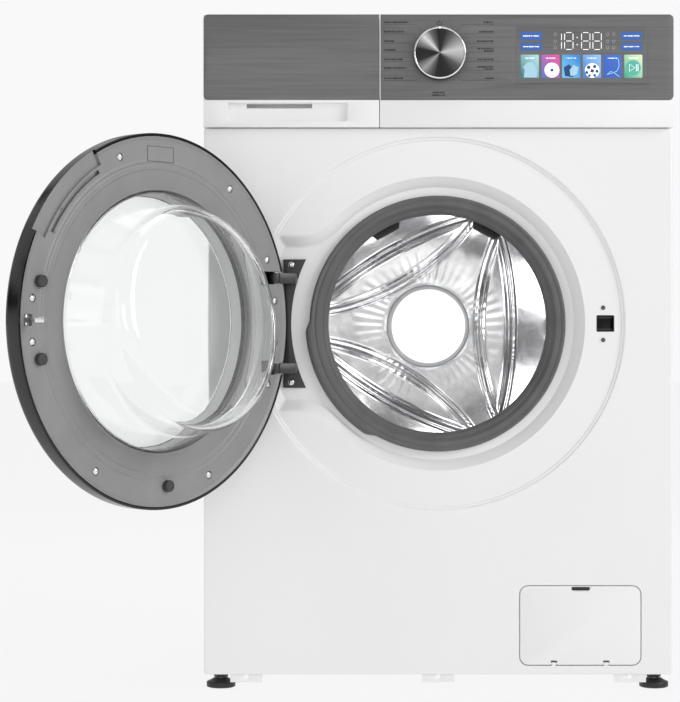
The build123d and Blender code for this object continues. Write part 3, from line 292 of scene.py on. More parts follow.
def prism(name, outline, d0, d1, material, edge=0.0, sharp=32):
    """An outline seen from the front, made solid between two depths, with rounded edges."""
    sections = [[at(x, d, z) for x, z in outline] for d in (d0, d1)]
    piece = loft(name, sections, material, sharp, ring=False, caps=True)
    return soften(piece, edge) if edge > 0 else piece


def block(name, x0, x1, d0, d1, z0, z1, material, edge=0.4, corner=0.0):
    """A moulded block with rounded edges."""
    outline = rounded_box(x0, x1, z0, z1, corner) if corner > 0 else [(x0, z0), (x1, z0), (x1, z1), (x0, z1)]
    return prism(name, outline, d0, d1, material, edge)


def merged(name, pieces):
    """One piece from several of the same body, each face keeping its material."""
    bm = bmesh.new()
    materials = []
    for piece in pieces:
        first = len(bm.faces)
        bm.from_mesh(piece.data)
        bm.faces.ensure_lookup_table()
        places = []
        for material in piece.data.materials:
            if material not in materials:
                materials.append(material)
            places.append(materials.index(material))
        for face in bm.faces[first:]:
            face.material_index = places[face.material_index]
        bpy.data.objects.remove(piece)
    return from_bmesh(name, bm, materials, 35)


def refined(node, name, material, edge=0.5, sharp=32):
    """A copy of a CAD node with its triangles merged and its edges rounded, standing for the node."""
    bm = bmesh.new()
    bm.from_mesh(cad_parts[node].data)
    bmesh.ops.remove_doubles(bm, verts=bm.verts, dist=WELD)
    for layers in (bm.loops.layers.float_vector, bm.loops.layers.uv):
        while len(layers):
            layers.remove(layers.values()[0])
    for face in bm.faces:
        face.material_index = 0
    piece = from_bmesh(name, bm, [material], sharp)
    return soften(piece, edge) if edge > 0 else piece


def swing_open(piece):
    """Turns a door piece, modelled closed, about the hinge to the open place the frame holds."""
    turn = Matrix.Translation(HINGE) @ Matrix.Rotation(DOOR_ANGLE, 4, "Z") @ Matrix.Translation(-HINGE)
    piece.data.transform(turn)
    piece.data.update()
    return piece


def fit(piece, body, *nodes, door=False, slot=None):
    """Puts the piece on its body, in place of CAD nodes."""
    if door:
        swing_open(piece)
    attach(piece, body)
    if nodes:
        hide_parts(*nodes)
    return piece


def carry(node, name, kind, edge, body, slot=None):
    """A refined copy of a CAD node, with its finish, put in the node's place."""
    return fit(refined(node, name, finish(kind), edge), body, node, slot=slot)


# ---- node helpers --------------------------------------------------------------------------
def add(tree, kind, inputs=None, **settings):
    """Adds a node with its settings; inputs are values, or sockets to link from."""
    node = tree.nodes.new(kind)
    for key, value in settings.items():
        setattr(node, key, value)
    for key, value in (inputs or {}).items():
        if isinstance(value, bpy.types.NodeSocket):
            tree.links.new(value, node.inputs[key])
        else:
            node.inputs[key].default_value = value
    return node


def surface(name, colour, roughness, metallic=0.0, **sockets):
    """A material with one shader whose even values stand on the shader's own sockets."""
    material = bpy.data.materials.new(name)
    material.use_nodes = True
    tree = material.node_tree
    shader = tree.nodes["Principled BSDF"]
    shader.inputs["Base Color"].default_value = colour
    shader.inputs["Roughness"].default_value = roughness
    shader.inputs["Metallic"].default_value = metallic
    for key, value in sockets.items():
        shader.inputs[key.replace("_", " ")].default_value = value
    material.diffuse_color = colour
    return material, tree, shader


def pattern_space(tree, across, deep, high, centre=(0.0, 0.0, 0.0)):
    """Object coordinates that grow by one over the given millimetres, from a centre in millimetres."""
    place = add(tree, "ShaderNodeTexCoord")
    scale = [1 / (size * MM) for size in (across, deep, high)]
    shift = [-c * MM * s for c, s in zip(centre, scale)]
    return add(tree, "ShaderNodeMapping", {"Vector": place.outputs["Object"], "Scale": scale,
                                           "Location": shift}).outputs["Vector"]


def calc(tree, operation, *values):
    """The result of a maths node."""
    return add(tree, "ShaderNodeMath", dict(enumerate(values)), operation=operation).outputs["Value"]


def vector(tree, **parts):
    """A vector from its X, Y and Z."""
    return add(tree, "ShaderNodeCombineXYZ", parts).outputs["Vector"]


def noise(tree, size, detail=2.0, **inputs):
    """Even noise whose features are size mm across, or (x, depth, z) mm."""
    across = size if isinstance(size, tuple) else (size, size, size)
    space = pattern_space(tree, *across)
    return add(tree, "ShaderNodeTexNoise", {"Vector": space, "Scale": 1.0, "Detail": detail,
                                            **inputs}).outputs["Fac"]


def relief(tree, shader, height, depth_mm, strength=1.0):
    """Bumps the surface by a height pattern."""
    bump = add(tree, "ShaderNodeBump", {"Height": height, "Distance": depth_mm * MM, "Strength": strength})
    tree.links.new(bump.outputs["Normal"], shader.inputs["Normal"])
    return bump


def blend_colours(tree, shader, factor, low, high, f0=0.3, f1=0.7):
    """The base colour goes between two colours by a pattern."""
    ramp = add(tree, "ShaderNodeValToRGB", {"Fac": factor})
    ramp.color_ramp.elements[0].position = f0
    ramp.color_ramp.elements[1].position = f1
    ramp.color_ramp.elements[0].color = low
    ramp.color_ramp.elements[1].color = high
    tree.links.new(ramp.outputs["Color"], shader.inputs["Base Color"])
    return ramp


def shade(colour, factor):
    """A colour made darker or lighter."""
    return tuple(min(c * factor, 1) for c in colour[:3]) + (1.0,)


def vary_roughness(tree, shader, pattern, low, high):
    """Roughness between two values by a pattern."""
    spread = add(tree, "ShaderNodeMapRange", {"Value": pattern, "To Min": low, "To Max": high})
    tree.links.new(spread.outputs["Result"], shader.inputs["Roughness"])


# ---- finishes ------------------------------------------------------------------------------
def enamelled_steel():
    # Sheet steel with baked enamel: an even satin white whose orange peel, about 3 mm across,
    # softens reflections.
    colour = colours().cabinet
    material, tree, shader = surface("enamelled_steel", colour, 0.34, Coat_Weight=0.25, Coat_Roughness=0.12)
    relief(tree, shader, noise(tree, 3, 3.0), 0.02, 0.35)
    blend_colours(tree, shader, noise(tree, 160), shade(colour, 0.985), colour)
    return material


def moulded_abs():
    # White injection-moulded ABS: fine spark-eroded grain, drawn at 0.9 mm, coarser than the real
    # 0.2 mm so it shows.
    colour = colours().trim
    material, tree, shader = surface("moulded_abs", colour, 0.42, IOR=1.53)
    relief(tree, shader, noise(tree, 0.9, 4.0), 0.015, 0.3)
    blend_colours(tree, shader, noise(tree, 90), shade(colour, 0.98), colour)
    return material


def brushed_film():
    # Brushed aluminium film laid on the panel: hair lines run across, 0.5 mm apart and up to 90 mm long.
    colour = colours().film
    material, tree, shader = surface("brushed_film", colour, 0.42, 0.45)
    fine = noise(tree, (60, 60, 0.55), 6.0, Roughness=0.7)
    broad = noise(tree, (140, 140, 3.2), 3.0)
    half = calc(tree, "MULTIPLY", calc(tree, "ADD", fine, broad), 0.5)
    blend_colours(tree, shader, half, shade(colour, 0.84), shade(colour, 1.16), 0.36, 0.64)
    vary_roughness(tree, shader, fine, 0.34, 0.5)
    relief(tree, shader, fine, 0.01, 0.4)
    return material


def printed_ink(name, code, glow=0.0):
    # Screen-printed ink: flat and slightly uneven, with 0.6 mm mottle in its gloss. Display prints are
    # lit from behind.
    colour = linear(code)
    material, tree, shader = surface(name, colour, 0.45, Emission_Strength=glow, Emission_Color=colour)
    vary_roughness(tree, shader, noise(tree, 0.6), 0.38, 0.55)
    return material


def tile_print(name, low, high, x0, x1, z0, z1):
    # A lit display tile: the colour runs corner to corner over the tile's own width and height.
    material, tree, shader = surface(name, linear(low), 0.35)
    space = pattern_space(tree, 2 * (x1 - x0), 1, 2 * (z1 - z0), (x0, 0, z0))
    across = add(tree, "ShaderNodeSeparateXYZ", {"Vector": space})
    run = calc(tree, "ADD", across.outputs["X"], across.outputs["Z"])
    ramp = blend_colours(tree, shader, run, linear(low), linear(high), 0.1, 0.9)
    tree.links.new(ramp.outputs["Color"], shader.inputs["Emission Color"])
    shader.inputs["Emission Strength"].default_value = 0.06
    return material


def spun_aluminium(x, z):
    # Turned aluminium disc with grooves 0.4 mm apart. The bright and dark fans that such grooves spread
    # are painted highlights and painted shade in its colour, so they stay where they are when the light moves.
    material, tree, shader = surface("spun_aluminium", linear("9A9A9A"), 0.4, 0.35)
    place = add(tree, "ShaderNodeSeparateXYZ", {"Vector": pattern_space(tree, 1, 1, 1, (x, 0, z))})
    angle = calc(tree, "ARCTAN2", place.outputs["Z"], place.outputs["X"])
    turn = add(tree, "ShaderNodeMapRange", {"Value": angle, "From Min": -math.pi, "From Max": math.pi})
    ramp = add(tree, "ShaderNodeValToRGB", {"Fac": turn.outputs["Result"]})
    # painted highlights and painted shade: the grooves' bright and dark fans, set by angle round the disc
    stops = ((0.0, "080808"), (0.056, "1A1A1A"), (0.125, "9A9A9A"), (0.172, "5A5A5A"), (0.222, "101010"),
             (0.264, "080808"), (0.333, "1C1C1C"), (0.403, "505050"), (0.472, "A8A8A8"), (0.528, "C8C8C8"),
             (0.583, "9A9A9A"), (0.653, "5A5A5A"), (0.708, "1C1C1C"), (0.764, "050505"), (0.819, "606060"),
             (0.875, "D8D8D8"), (0.917, "8A8A8A"), (0.967, "101010"), (1.0, "080808"))
    ramp.color_ramp.elements[0].color = linear(stops[0][1])
    ramp.color_ramp.elements[1].color = linear(stops[-1][1])
    for position, code in stops[1:-1]:
        ramp.color_ramp.elements.new(position).color = linear(code)
    tree.links.new(ramp.outputs["Color"], shader.inputs["Base Color"])
    flat = vector(tree, X=place.outputs["X"], Z=place.outputs["Z"])
    radius = add(tree, "ShaderNodeVectorMath", {0: flat}, operation="LENGTH").outputs["Value"]
    wave = calc(tree, "SINE", calc(tree, "MULTIPLY", radius, 2 * math.pi / 0.4))
    relief(tree, shader, wave, 0.01, 0.3)
    return material


def polished_metal(name, code, roughness, scale=18.0):
    # Polished or plated metal: faint wipe marks some millimetres long break up its gloss.
    colour = linear(code)
    material, tree, shader = surface(name, colour, roughness, 1.0)
    marks = noise(tree, (scale, scale, scale / 6), 4.0)
    vary_roughness(tree, shader, marks, roughness * 0.6, roughness * 1.6)
    blend_colours(tree, shader, marks, shade(colour, 0.9), colour)
    return material


def drawn_stainless():
    # Deep-drawn and polished stainless sheet: slow waves 45 mm across bend its reflections, over a fine
    # 0.5 mm grain. The same waves darken its colour in patches: a painted reflection.
    colour = colours().steel
    material, tree, shader = surface("drawn_stainless", colour, 0.16, 1.0)
    slow = noise(tree, 45)
    # painted reflection: the colour darkens in the wave patches
    blend_colours(tree, shader, slow, shade(colour, 0.82), colour, 0.35, 0.65)
    vary_roughness(tree, shader, noise(tree, (0.5, 0.5, 4)), 0.1, 0.22)
    relief(tree, shader, slow, 2.2, 0.35)
    return material


def moulded_plastic(name, colour, roughness, grain_mm=0.8, strength=0.3):
    # Moulded engineering plastic: an even tone with the mould's fine grain.
    material, tree, shader = surface(name, colour, roughness, IOR=1.53)
    relief(tree, shader, noise(tree, grain_mm, 3.0), 0.03, strength)
    blend_colours(tree, shader, noise(tree, 60), shade(colour, 0.93), shade(colour, 1.05))
    return material


def epdm_rubber():
    # Moulded EPDM rubber: matt with a faint grey bloom in soft patches.
    colour = colours().gasket
    material, tree, shader = surface("epdm_rubber", colour, 0.6, IOR=1.48, Specular_IOR_Level=0.35)
    blend_colours(tree, shader, noise(tree, 30, 5.0), shade(colour, 0.92), shade(colour, 1.1))
    relief(tree, shader, noise(tree, 1.2), 0.03, 0.3)
    return material


def pressed_glass():
    # Pressed borosilicate glass: clear, with slow flow ripples 30 mm across that bend what is behind.
    material, tree, shader = surface("pressed_glass", (0.985, 0.99, 0.99, 1), 0.0, IOR=1.47,
                                     Transmission_Weight=1.0)
    relief(tree, shader, noise(tree, 30, 1.0), 0.5, 0.12)
    return material


def clear_acrylic():
    # Injection-moulded clear acrylic window: clear and very smooth, with a trace of haze.
    material, tree, shader = surface("clear_acrylic", (0.98, 0.985, 0.985, 1), 0.0, IOR=1.49,
                                     Transmission_Weight=1.0)
    vary_roughness(tree, shader, noise(tree, 70), 0.0, 0.02)
    return material


def cast_concrete():
    # Vibrated concrete weight: pits 3 to 8 mm across and grey sand mottle.
    colour = linear("9A9892")
    material, tree, shader = surface("cast_concrete", colour, 0.85)
    pits = add(tree, "ShaderNodeTexVoronoi", {"Vector": pattern_space(tree, 6, 6, 6), "Scale": 1.0})
    blend_colours(tree, shader, noise(tree, 2, 6.0), shade(colour, 0.75), shade(colour, 1.15))
    relief(tree, shader, pits.outputs["Distance"], 1.0, 0.4)
    return material


def circuit_laminate():
    # Glass-epoxy circuit board: green lacquer with tracks on a 2.54 mm grid.
    material, tree, shader = surface("circuit_laminate", linear("1D5A34"), 0.35, Coat_Weight=0.4)
    grid = add(tree, "ShaderNodeTexBrick", {"Vector": pattern_space(tree, 2.54, 2.54, 2.54), "Scale": 1.0,
                                            "Color1": linear("1B5230"), "Color2": linear("23683D"),
                                            "Mortar": linear("3D8A58"), "Mortar Size": 0.06})
    tree.links.new(grid.outputs["Color"], shader.inputs["Base Color"])
    return material


def lit_hub():
    # Glossy white polypropylene cover over the drum's nut. It gives off light of its own, which a real
    # cover does not, so that it stays white in the drum's shade.
    white = linear("FFFFFF")
    material, tree, shader = surface("lit_hub", white, 0.35, Emission_Strength=0.85, Emission_Color=white)
    relief(tree, shader, noise(tree, 2), 0.01, 0.1)
    return material


INKS = {"black_ink": ("101010", 0.0), "white_ink": ("FFFFFF", 0.35), "key_print": ("3763AE", 0.06),
        "pale_ink": ("A9ADB1", 0.05)}
METALS = {"chromed_zinc": ("F2F2F2", 0.12), "zinc_plated_steel": ("D9DADB", 0.25),
          "sprung_steel": ("8D9094", 0.32), "cast_aluminium": ("B5B7B9", 0.48),
          "ground_steel": ("A9ABAE", 0.22)}
PLASTICS = {"black_nylon": ("1B1B1C", 0.42), "dark_enamel": ("2F2F30", 0.4, 2.0, 0.4),
            "filled_polypropylene": ("B9BCBF", 0.5), "blue_polypropylene": ("2F6FB3", 0.4),
            "hose_rubber": ("1E1E1F", 0.62, 1.5, 0.4), "nitrile_rubber": ("3A3A3B", 0.58, 1.5, 0.4),
            "motor_lacquer": ("4A4C50", 0.38, 2.0, 0.5)}
OTHERS = {
    "enamelled_steel": enamelled_steel, "moulded_abs": moulded_abs, "brushed_film": brushed_film,
    "drawn_stainless": drawn_stainless, "epdm_rubber": epdm_rubber, "pressed_glass": pressed_glass,
    "clear_acrylic": clear_acrylic, "cast_concrete": cast_concrete, "circuit_laminate": circuit_laminate,
    "white_hub": lit_hub,
    "gloss_black_abs": lambda: moulded_plastic("gloss_black_abs", colours().rim, 0.16, 6.0, 0.12),
    "grained_grey_abs": lambda: moulded_plastic("grained_grey_abs", colours().inner, 0.44, 1.1, 0.3),
}
FINISHES = {}


def finish(name):
    """A finish by name, made once."""
    if name not in FINISHES:
        if name in INKS:
            FINISHES[name] = printed_ink(name, *INKS[name])
        elif name in METALS:
            FINISHES[name] = polished_metal(name, *METALS[name])
        elif name in PLASTICS:
            code, *rest = PLASTICS[name]
            FINISHES[name] = moulded_plastic(name, linear(code), *rest)
        else:
            FINISHES[name] = OTHERS[name]()
    return FINISHES[name]


# ---- node trees for what repeats -----------------------------------------------------------
def new_tree(name, *inputs):
    """A geometry node tree with a geometry input, named inputs (title, kind, default) and one output."""
    tree = bpy.data.node_groups.new(name, "GeometryNodeTree")
    tree.interface.new_socket("Geometry", in_out="INPUT", socket_type="NodeSocketGeometry")
    tree.interface.new_socket("Geometry", in_out="OUTPUT", socket_type="NodeSocketGeometry")
    for title, kind, default in inputs:
        socket = tree.interface.new_socket(title, in_out="INPUT", socket_type=kind)
        if default is not None:
            socket.default_value = default
    return tree, add(tree, "NodeGroupInput"), add(tree, "NodeGroupOutput")


def close_tree(tree, end, instances, material):
    """Ends a tree: the copies made real and given their finish."""
    real = add(tree, "GeometryNodeRealizeInstances", {"Geometry": instances})
    done = add(tree, "GeometryNodeSetMaterial", {"Geometry": real.outputs["Geometry"], "Material": material})
    tree.links.new(done.outputs["Geometry"], end.inputs["Geometry"])


def grown(name, points, tree, values, sharp=35):
    """A piece grown by a node tree from a mesh of loose points; values go in by input title."""
    mesh = bpy.data.meshes.new(name)
    mesh.from_pydata([Vector(p) for p in points], [], [])
    piece = placed(name, mesh)
    modifier = piece.modifiers.new("grow", "NODES")
    modifier.node_group = tree
    for item in tree.interface.items_tree:
        if item.item_type == "SOCKET" and item.in_out == "INPUT" and item.name in values:
            modifier[item.identifier] = values[item.name]
    return bake(piece, sharp)


def screw_tree(material):
    """Domed screw heads with a cross recess, one at each point, facing one way and turned at random."""
    tree, start, end = new_tree("screw_heads", ("Head radius", "NodeSocketFloat", 0.004),
                                ("Dome", "NodeSocketFloat", 0.5), ("Facing", "NodeSocketVector", (0, 0, 0)),
                                ("Seed", "NodeSocketInt", 3))
    radius = start.outputs["Head radius"]
    ball = add(tree, "GeometryNodeMeshUVSphere", {"Segments": 24, "Rings": 12, "Radius": radius})
    squat = vector(tree, X=1.0, Y=1.0, Z=start.outputs["Dome"])
    head = add(tree, "GeometryNodeTransform", {"Geometry": ball.outputs["Mesh"], "Scale": squat})
    long_way = calc(tree, "MULTIPLY", radius, 1.1)
    narrow = calc(tree, "MULTIPLY", radius, 0.24)
    bars = add(tree, "GeometryNodeJoinGeometry")
    for one, two in ((long_way, narrow), (narrow, long_way)):
        bar = add(tree, "GeometryNodeMeshCube", {"Size": vector(tree, X=one, Y=two, Z=radius)})
        lifted = add(tree, "GeometryNodeTransform", {"Geometry": bar.outputs["Mesh"], "Scale": (1, 1, 1.35),
                                                     "Translation": vector(tree, Z=long_way)})
        tree.links.new(lifted.outputs["Geometry"], bars.inputs["Geometry"])
    driven = add(tree, "GeometryNodeMeshBoolean", {"Mesh 1": head.outputs["Geometry"]},
                 operation="DIFFERENCE")
    tree.links.new(bars.outputs["Geometry"], driven.inputs["Mesh 2"])
    spin = add(tree, "FunctionNodeRandomValue", {"Seed": start.outputs["Seed"]}, data_type="FLOAT")
    spin.inputs[2].default_value = 0.0
    spin.inputs[3].default_value = 1.57
    turn = vector(tree, Z=spin.outputs[1])
    copies = add(tree, "GeometryNodeInstanceOnPoints", {"Points": start.outputs["Geometry"],
                                                        "Instance": driven.outputs["Mesh"],
                                                        "Rotation": start.outputs["Facing"]})
    turned = add(tree, "GeometryNodeRotateInstances", {"Instances": copies.outputs["Instances"],
                                                       "Rotation": turn})
    close_tree(tree, end, turned.outputs["Instances"], material)
    return tree


def hole_tree(material):
    """Painted shade for drain holes: shallow dark dishes with few faces in staggered rows round a drum."""
    tree, start, end = new_tree("drain_holes", ("Rows", "NodeSocketInt", 14),
                                ("Holes round", "NodeSocketInt", 80),
                                ("Drum radius", "NodeSocketFloat", 0.237),
                                ("Length", "NodeSocketFloat", 0.24),
                                ("Hole radius", "NodeSocketFloat", 0.0017),
                                ("Middle", "NodeSocketVector", (0, 0, 0)))
    rows, around = start.outputs["Rows"], start.outputs["Holes round"]
    points = add(tree, "GeometryNodePoints", {"Count": calc(tree, "MULTIPLY", rows, around)})
    index = add(tree, "GeometryNodeInputIndex").outputs["Index"]
    row = calc(tree, "FLOOR", calc(tree, "DIVIDE", index, around))
    place = calc(tree, "ADD", index, calc(tree, "MULTIPLY", row, 0.5))
    angle = calc(tree, "MULTIPLY", calc(tree, "DIVIDE", place, around), 2 * math.pi)
    radial = vector(tree, X=calc(tree, "COSINE", angle), Z=calc(tree, "SINE", angle))
    ring = add(tree, "ShaderNodeVectorMath", {0: radial, "Scale": start.outputs["Drum radius"]},
               operation="SCALE")
    along = vector(tree, Y=calc(tree, "MULTIPLY", row, calc(tree, "DIVIDE", start.outputs["Length"], rows)))
    spot = add(tree, "ShaderNodeVectorMath", {0: ring.outputs["Vector"], 1: along}, operation="ADD")
    centre = add(tree, "ShaderNodeVectorMath", {0: spot.outputs["Vector"], 1: start.outputs["Middle"]},
                 operation="ADD")
    placing = add(tree, "GeometryNodeSetPosition", {"Geometry": points.outputs["Points"],
                                                    "Position": centre.outputs["Vector"]})
    rim = add(tree, "GeometryNodeMeshCylinder", {"Vertices": 10, "Radius": start.outputs["Hole radius"],
                                                 "Depth": 0.0012})
    facing = add(tree, "FunctionNodeAlignRotationToVector", {"Vector": radial}, axis="Z")
    copies = add(tree, "GeometryNodeInstanceOnPoints", {"Points": placing.outputs["Geometry"],
                                                        "Instance": rim.outputs["Mesh"],
                                                        "Rotation": facing.outputs["Rotation"]})
    close_tree(tree, end, copies.outputs["Instances"], material)
    return tree


def thread_tree(material):
    """A screw thread: a small triangle swept up a helix, one at each point."""
    tree, start, end = new_tree("stud_thread", ("Turns", "NodeSocketFloat", 18.0),
                                ("Stud radius", "NodeSocketFloat", 0.0038),
                                ("Height", "NodeSocketFloat", 0.026),
                                ("Crest", "NodeSocketFloat", 0.0006))
    helix = add(tree, "GeometryNodeCurveSpiral", {"Resolution": 24, "Rotations": start.outputs["Turns"],
                                                  "Start Radius": start.outputs["Stud radius"],
                                                  "End Radius": start.outputs["Stud radius"],
                                                  "Height": start.outputs["Height"]})
    section = add(tree, "GeometryNodeCurvePrimitiveCircle", {"Resolution": 3,
                                                             "Radius": start.outputs["Crest"]})
    swept = add(tree, "GeometryNodeCurveToMesh", {"Curve": helix.outputs["Curve"],
                                                  "Profile Curve": section.outputs["Curve"],
                                                  "Fill Caps": True})
    copies = add(tree, "GeometryNodeInstanceOnPoints", {"Points": start.outputs["Geometry"],
                                                        "Instance": swept.outputs["Mesh"]})
    close_tree(tree, end, copies.outputs["Instances"], material)
    return tree


# ---- cabinet -------------------------------------------------------------------------------
def make_cabinet():
    """The folded side, rear and base sheets and the lid."""
    edge = sizes().edge_round / MM
    for node, name in (("side_panel_left", "side_sheet_left"), ("side_panel_right", "side_sheet_right"),
                       ("rear_panel", "rear_sheet"), ("base_tray", "base_pan")):
        carry(node, name, "enamelled_steel", min(edge, 0.35), "cabinet", "painted_cabinet")
    carry("top_cover", "lid", "moulded_abs", edge * 1.6, "cabinet", "painted_cabinet")
    for node, name, kind in (("transit_caps", "transit_plugs", "moulded_abs"),
                             ("cord_gland", "cord_grommet", "black_nylon"),
                             ("drain_spigot", "drain_outlet", "filled_polypropylene"),
                             ("inlet_valve", "water_valve", "filled_polypropylene")):
        carry(node, name, kind, 0.5, "cabinet")


def front_depth(x, z):
    """Depth of the pressed front sheet at a point, x from the middle and z from the drum's axis."""
    radius = math.hypot(x, z)
    edge = sizes().dish_radius / MM
    dish = (2.4 * (1 - smooth(radius, edge - 1.6, edge + 0.4))
            + 1.6 * (1 - smooth(radius, edge - 5.2, edge - 3.4)))
    # distance outside the round seat, joined by a fillet to the recess that runs to the hinge side
    out = radius - sizes().seat_radius / MM
    if x < -60:
        beside = abs(z) - 111
        share = min(max(0.5 + (beside - out) / 48, 0), 1)
        out = beside * (1 - share) + out * share - 24 * share * (1 - share)
        out = max(out, radius - 231)
    return dish + 14.0 * min(max(-out / 13.0, 0), 1)


def make_front_sheet():
    """The front sheet: one pressing with the round dish, the door seat and the recess by the hinge."""
    count = 600
    material = finish("enamelled_steel")
    bm = bmesh.new()
    radii = [158.0, 159, 161, 165, 169, 172.5] + [174 + 1.3 * i for i in range(11)]
    radii += [188.5 + 1.7 * i for i in range(16)]
    radii += [215.5, 217.5, 219.5, 221.5, 223.5, 225.5] + [227 + 1.15 * i for i in range(12)]
    radii += [241.0, 242.5, 243.5]
    # each ring is its radius and depth; the bore's lip comes first and the pressing sets the rest
    rings = [(158.0, 18.0 + lip) for lip in (7.0, 5.0, 2.0)] + [(radius, None) for radius in radii]
    loops = []
    for radius, depth in rings:
        loop = []
        for x, z in circle(0, 0, radius, count):
            loop.append(bm.verts.new(at(x, front_depth(x, z) if depth is None else depth, DRUM_Z + z)))
        loops.append(loop)
    for one, two in zip(loops, loops[1:]):
        bridge(bm, one, two)
    low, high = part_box("front_panel")
    z0, z1 = low.z / MM, high.z / MM
    borders = []
    for inset, depth in [(4.5, 0), (2.6, 0)] + [(2.0 - 2.0 * math.sin(t), 2.0 - 2.0 * math.cos(t))
                                                for t in (0, 0.4, 0.8, 1.2, math.pi / 2)] + [(0, 15.0)]:
        outline = rounded_box(-HALF_WIDTH + inset, HALF_WIDTH - inset, z0 + inset, z1 - inset,
                              max(3.5 - inset, 0.6), 4)
        borders.append([bm.verts.new(at(x, depth, z)) for x, z in outline])
    for one, two in zip(borders, borders[1:]):
        bridge(bm, one, two)
    bm.edges.ensure_lookup_table()
    edges = [bm.edges.get((ring[i], ring[(i + 1) % len(ring)])) for ring in (loops[-1], borders[0])
             for i in range(len(ring))]
    bmesh.ops.triangle_fill(bm, edges=edges, use_beauty=True, use_dissolve=False)
    bmesh.ops.recalc_face_normals(bm, faces=bm.faces)
    probe = max(bm.faces, key=lambda f: f.calc_area())
    if probe.normal.y > 0:
        bmesh.ops.reverse_faces(bm, faces=bm.faces)
    piece = finish_object("front_sheet", bm, material, 50, outward=False)
    wall = piece.modifiers.new("wall", "SOLIDIFY")
    wall.thickness = 1.0 * MM
    wall.offset = -1
    bake(piece, 50)
    flap_lo, flap_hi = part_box("filter_flap")
    cutters = [
        block("cutter", 202, 223.5, -2, 12, DRUM_Z - 10, DRUM_Z + 10, material, 0, 1.5),
        block("cutter", flap_lo.x / MM - 1.2, flap_hi.x / MM + 1.2, -2, 3, flap_lo.z / MM - 1.2,
              flap_hi.z / MM + 1.2, material, 0, 11.5),
        *[prism("cutter", circle(LOCK_X, DRUM_Z + rise, 1.6, 20), -2, 12, material) for rise in LOCK_SCREWS],
    ]
    for tab in (-1, 0, 1):
        middle = tab * 243.6
        cutters.append(block("cutter", middle - 21, middle + 21, 1.6, 4.6, z0 - 1, z0 + 1.6, material, 0))
    cut(piece, *cutters)
    fit(piece, "cabinet", "front_panel", slot="painted_cabinet")
    ears = [block("ear", x - 3, x + 3, 0.9, 6.5, flap_lo.z / MM - 5, flap_lo.z / MM + 2.8,
                  finish("moulded_abs"), 0.3) for x in FLAP_EARS]
    x0, x1, zf0, zf1 = (v / MM for v in (flap_lo.x, flap_hi.x, flap_lo.z, flap_hi.z))
    white = finish("moulded_abs")
    ledge = prism("ledge", rounded_box(x0 - 4, x1 + 4, zf0 - 4, zf1 + 4, 14), 3.3, 4.3, white, 0.2)
    cut(ledge, prism("cutter", rounded_box(x0 + 3, x1 - 3, zf0 + 3.5, zf1 - 3, 9), 2, 6, white))
    fit(merged("flap_frame", ears + [ledge]), "cabinet")


def make_lock_and_hinge():
    """The door lock behind its slot, the hinge plate with its two arms, and their screws."""
    carry("door_lock", "door_lock_body", "black_nylon", 0.4, "cabinet")
    slot_rim = prism("slot_rim", rounded_box(201.4, 224.1, DRUM_Z - 10.6, DRUM_Z + 10.6, 1.5), 3.75, 4.6,
                     finish("black_nylon"), 0.3)
    cut(slot_rim, block("cutter", 202.6, 222.9, 2, 6, DRUM_Z - 9.4, DRUM_Z + 9.4, finish("black_nylon"),
                        0, 1))
    ribs = [block("rib", 203.5, 222, 7, 13, DRUM_Z + z - 1.1, DRUM_Z + z + 1.1, finish("dark_enamel"), 0.3)
            for z in (-7.6, 7.6)]
    fit(merged("lock_mouth", [slot_rim, *ribs]), "cabinet")
    carry("hinge_plate", "hinge_bracket", "dark_enamel", 0.5, "cabinet")
    tree = screw_tree(finish("zinc_plated_steel"))
    hinge_screws = grown("hinge_screws", [at(-187, 15.2, DRUM_Z + z) for z in (-75, 75)], tree,
                         {"Head radius": 0.0042, "Dome": 0.55, "Facing": TO_FRONT})
    lock_screws = grown("lock_screws", [at(LOCK_X, 3.6, DRUM_Z + rise) for rise in LOCK_SCREWS],
                        screw_tree(finish("motor_lacquer")),
                        {"Head radius": 0.0028, "Dome": 0.6, "Facing": TO_FRONT, "Seed": 8})
    fit(merged("front_fasteners", [hinge_screws, lock_screws]), "cabinet", "front_screws")
    spots = [at(x, 492.3, z) for x in (-288, 288) for z in (60, 300, 560, 800)]
    spots += [at(x, 495.2, 846) for x in (-240, 240)]
    rear = grown("rear_fasteners", spots, tree, {"Head radius": 0.0042, "Dome": 0.45, "Seed": 21,
                                                 "Facing": TO_REAR})
    fit(rear, "cabinet", "rear_screws")


def make_filter_door():
    """The filter flap with its finger notch, and the filter cap behind it."""
    low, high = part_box("filter_flap")
    x0, x1, z0, z1 = low.x / MM, high.x / MM, low.z / MM, high.z / MM
    white = finish("enamelled_steel")
    flap = prism("filter_door", rounded_box(x0, x1, z0, z1, 10.5, 8), 0.05, 2.2, white, 0.45)
    notch = prism("cutter", rounded([(168, z1 + 2), (168, z1 - 3.5, 2), (172, z1 - 6.8, 2),
                                     (190, z1 - 6.8, 2),
                                     (194, z1 - 3.5, 2), (194, z1 + 2)]), -1, 1.5, white)
    cut(flap, notch, *[block("cutter", x - 4, x + 4, -1, 3, z0 - 1, z0 + 5.5, white, 0) for x in FLAP_EARS])
    ears = [block("pin", x - 6, x + 6, 0.7, 2.1, z0 + 0.9, z0 + 2.3, finish("moulded_abs"), 0.3)
            for x in FLAP_EARS]
    slot = block("slot", 169.5, 192.5, 1.0, 1.7, z1 - 5.6, z1 - 1.2, finish("black_nylon"), 0.2, 1.5)
    fit(merged("filter_door", [flap, *ears, slot]), "flap", "filter_flap")
    carry("filter_cap", "filter_knob", "filled_polypropylene", 0.6, "filter")


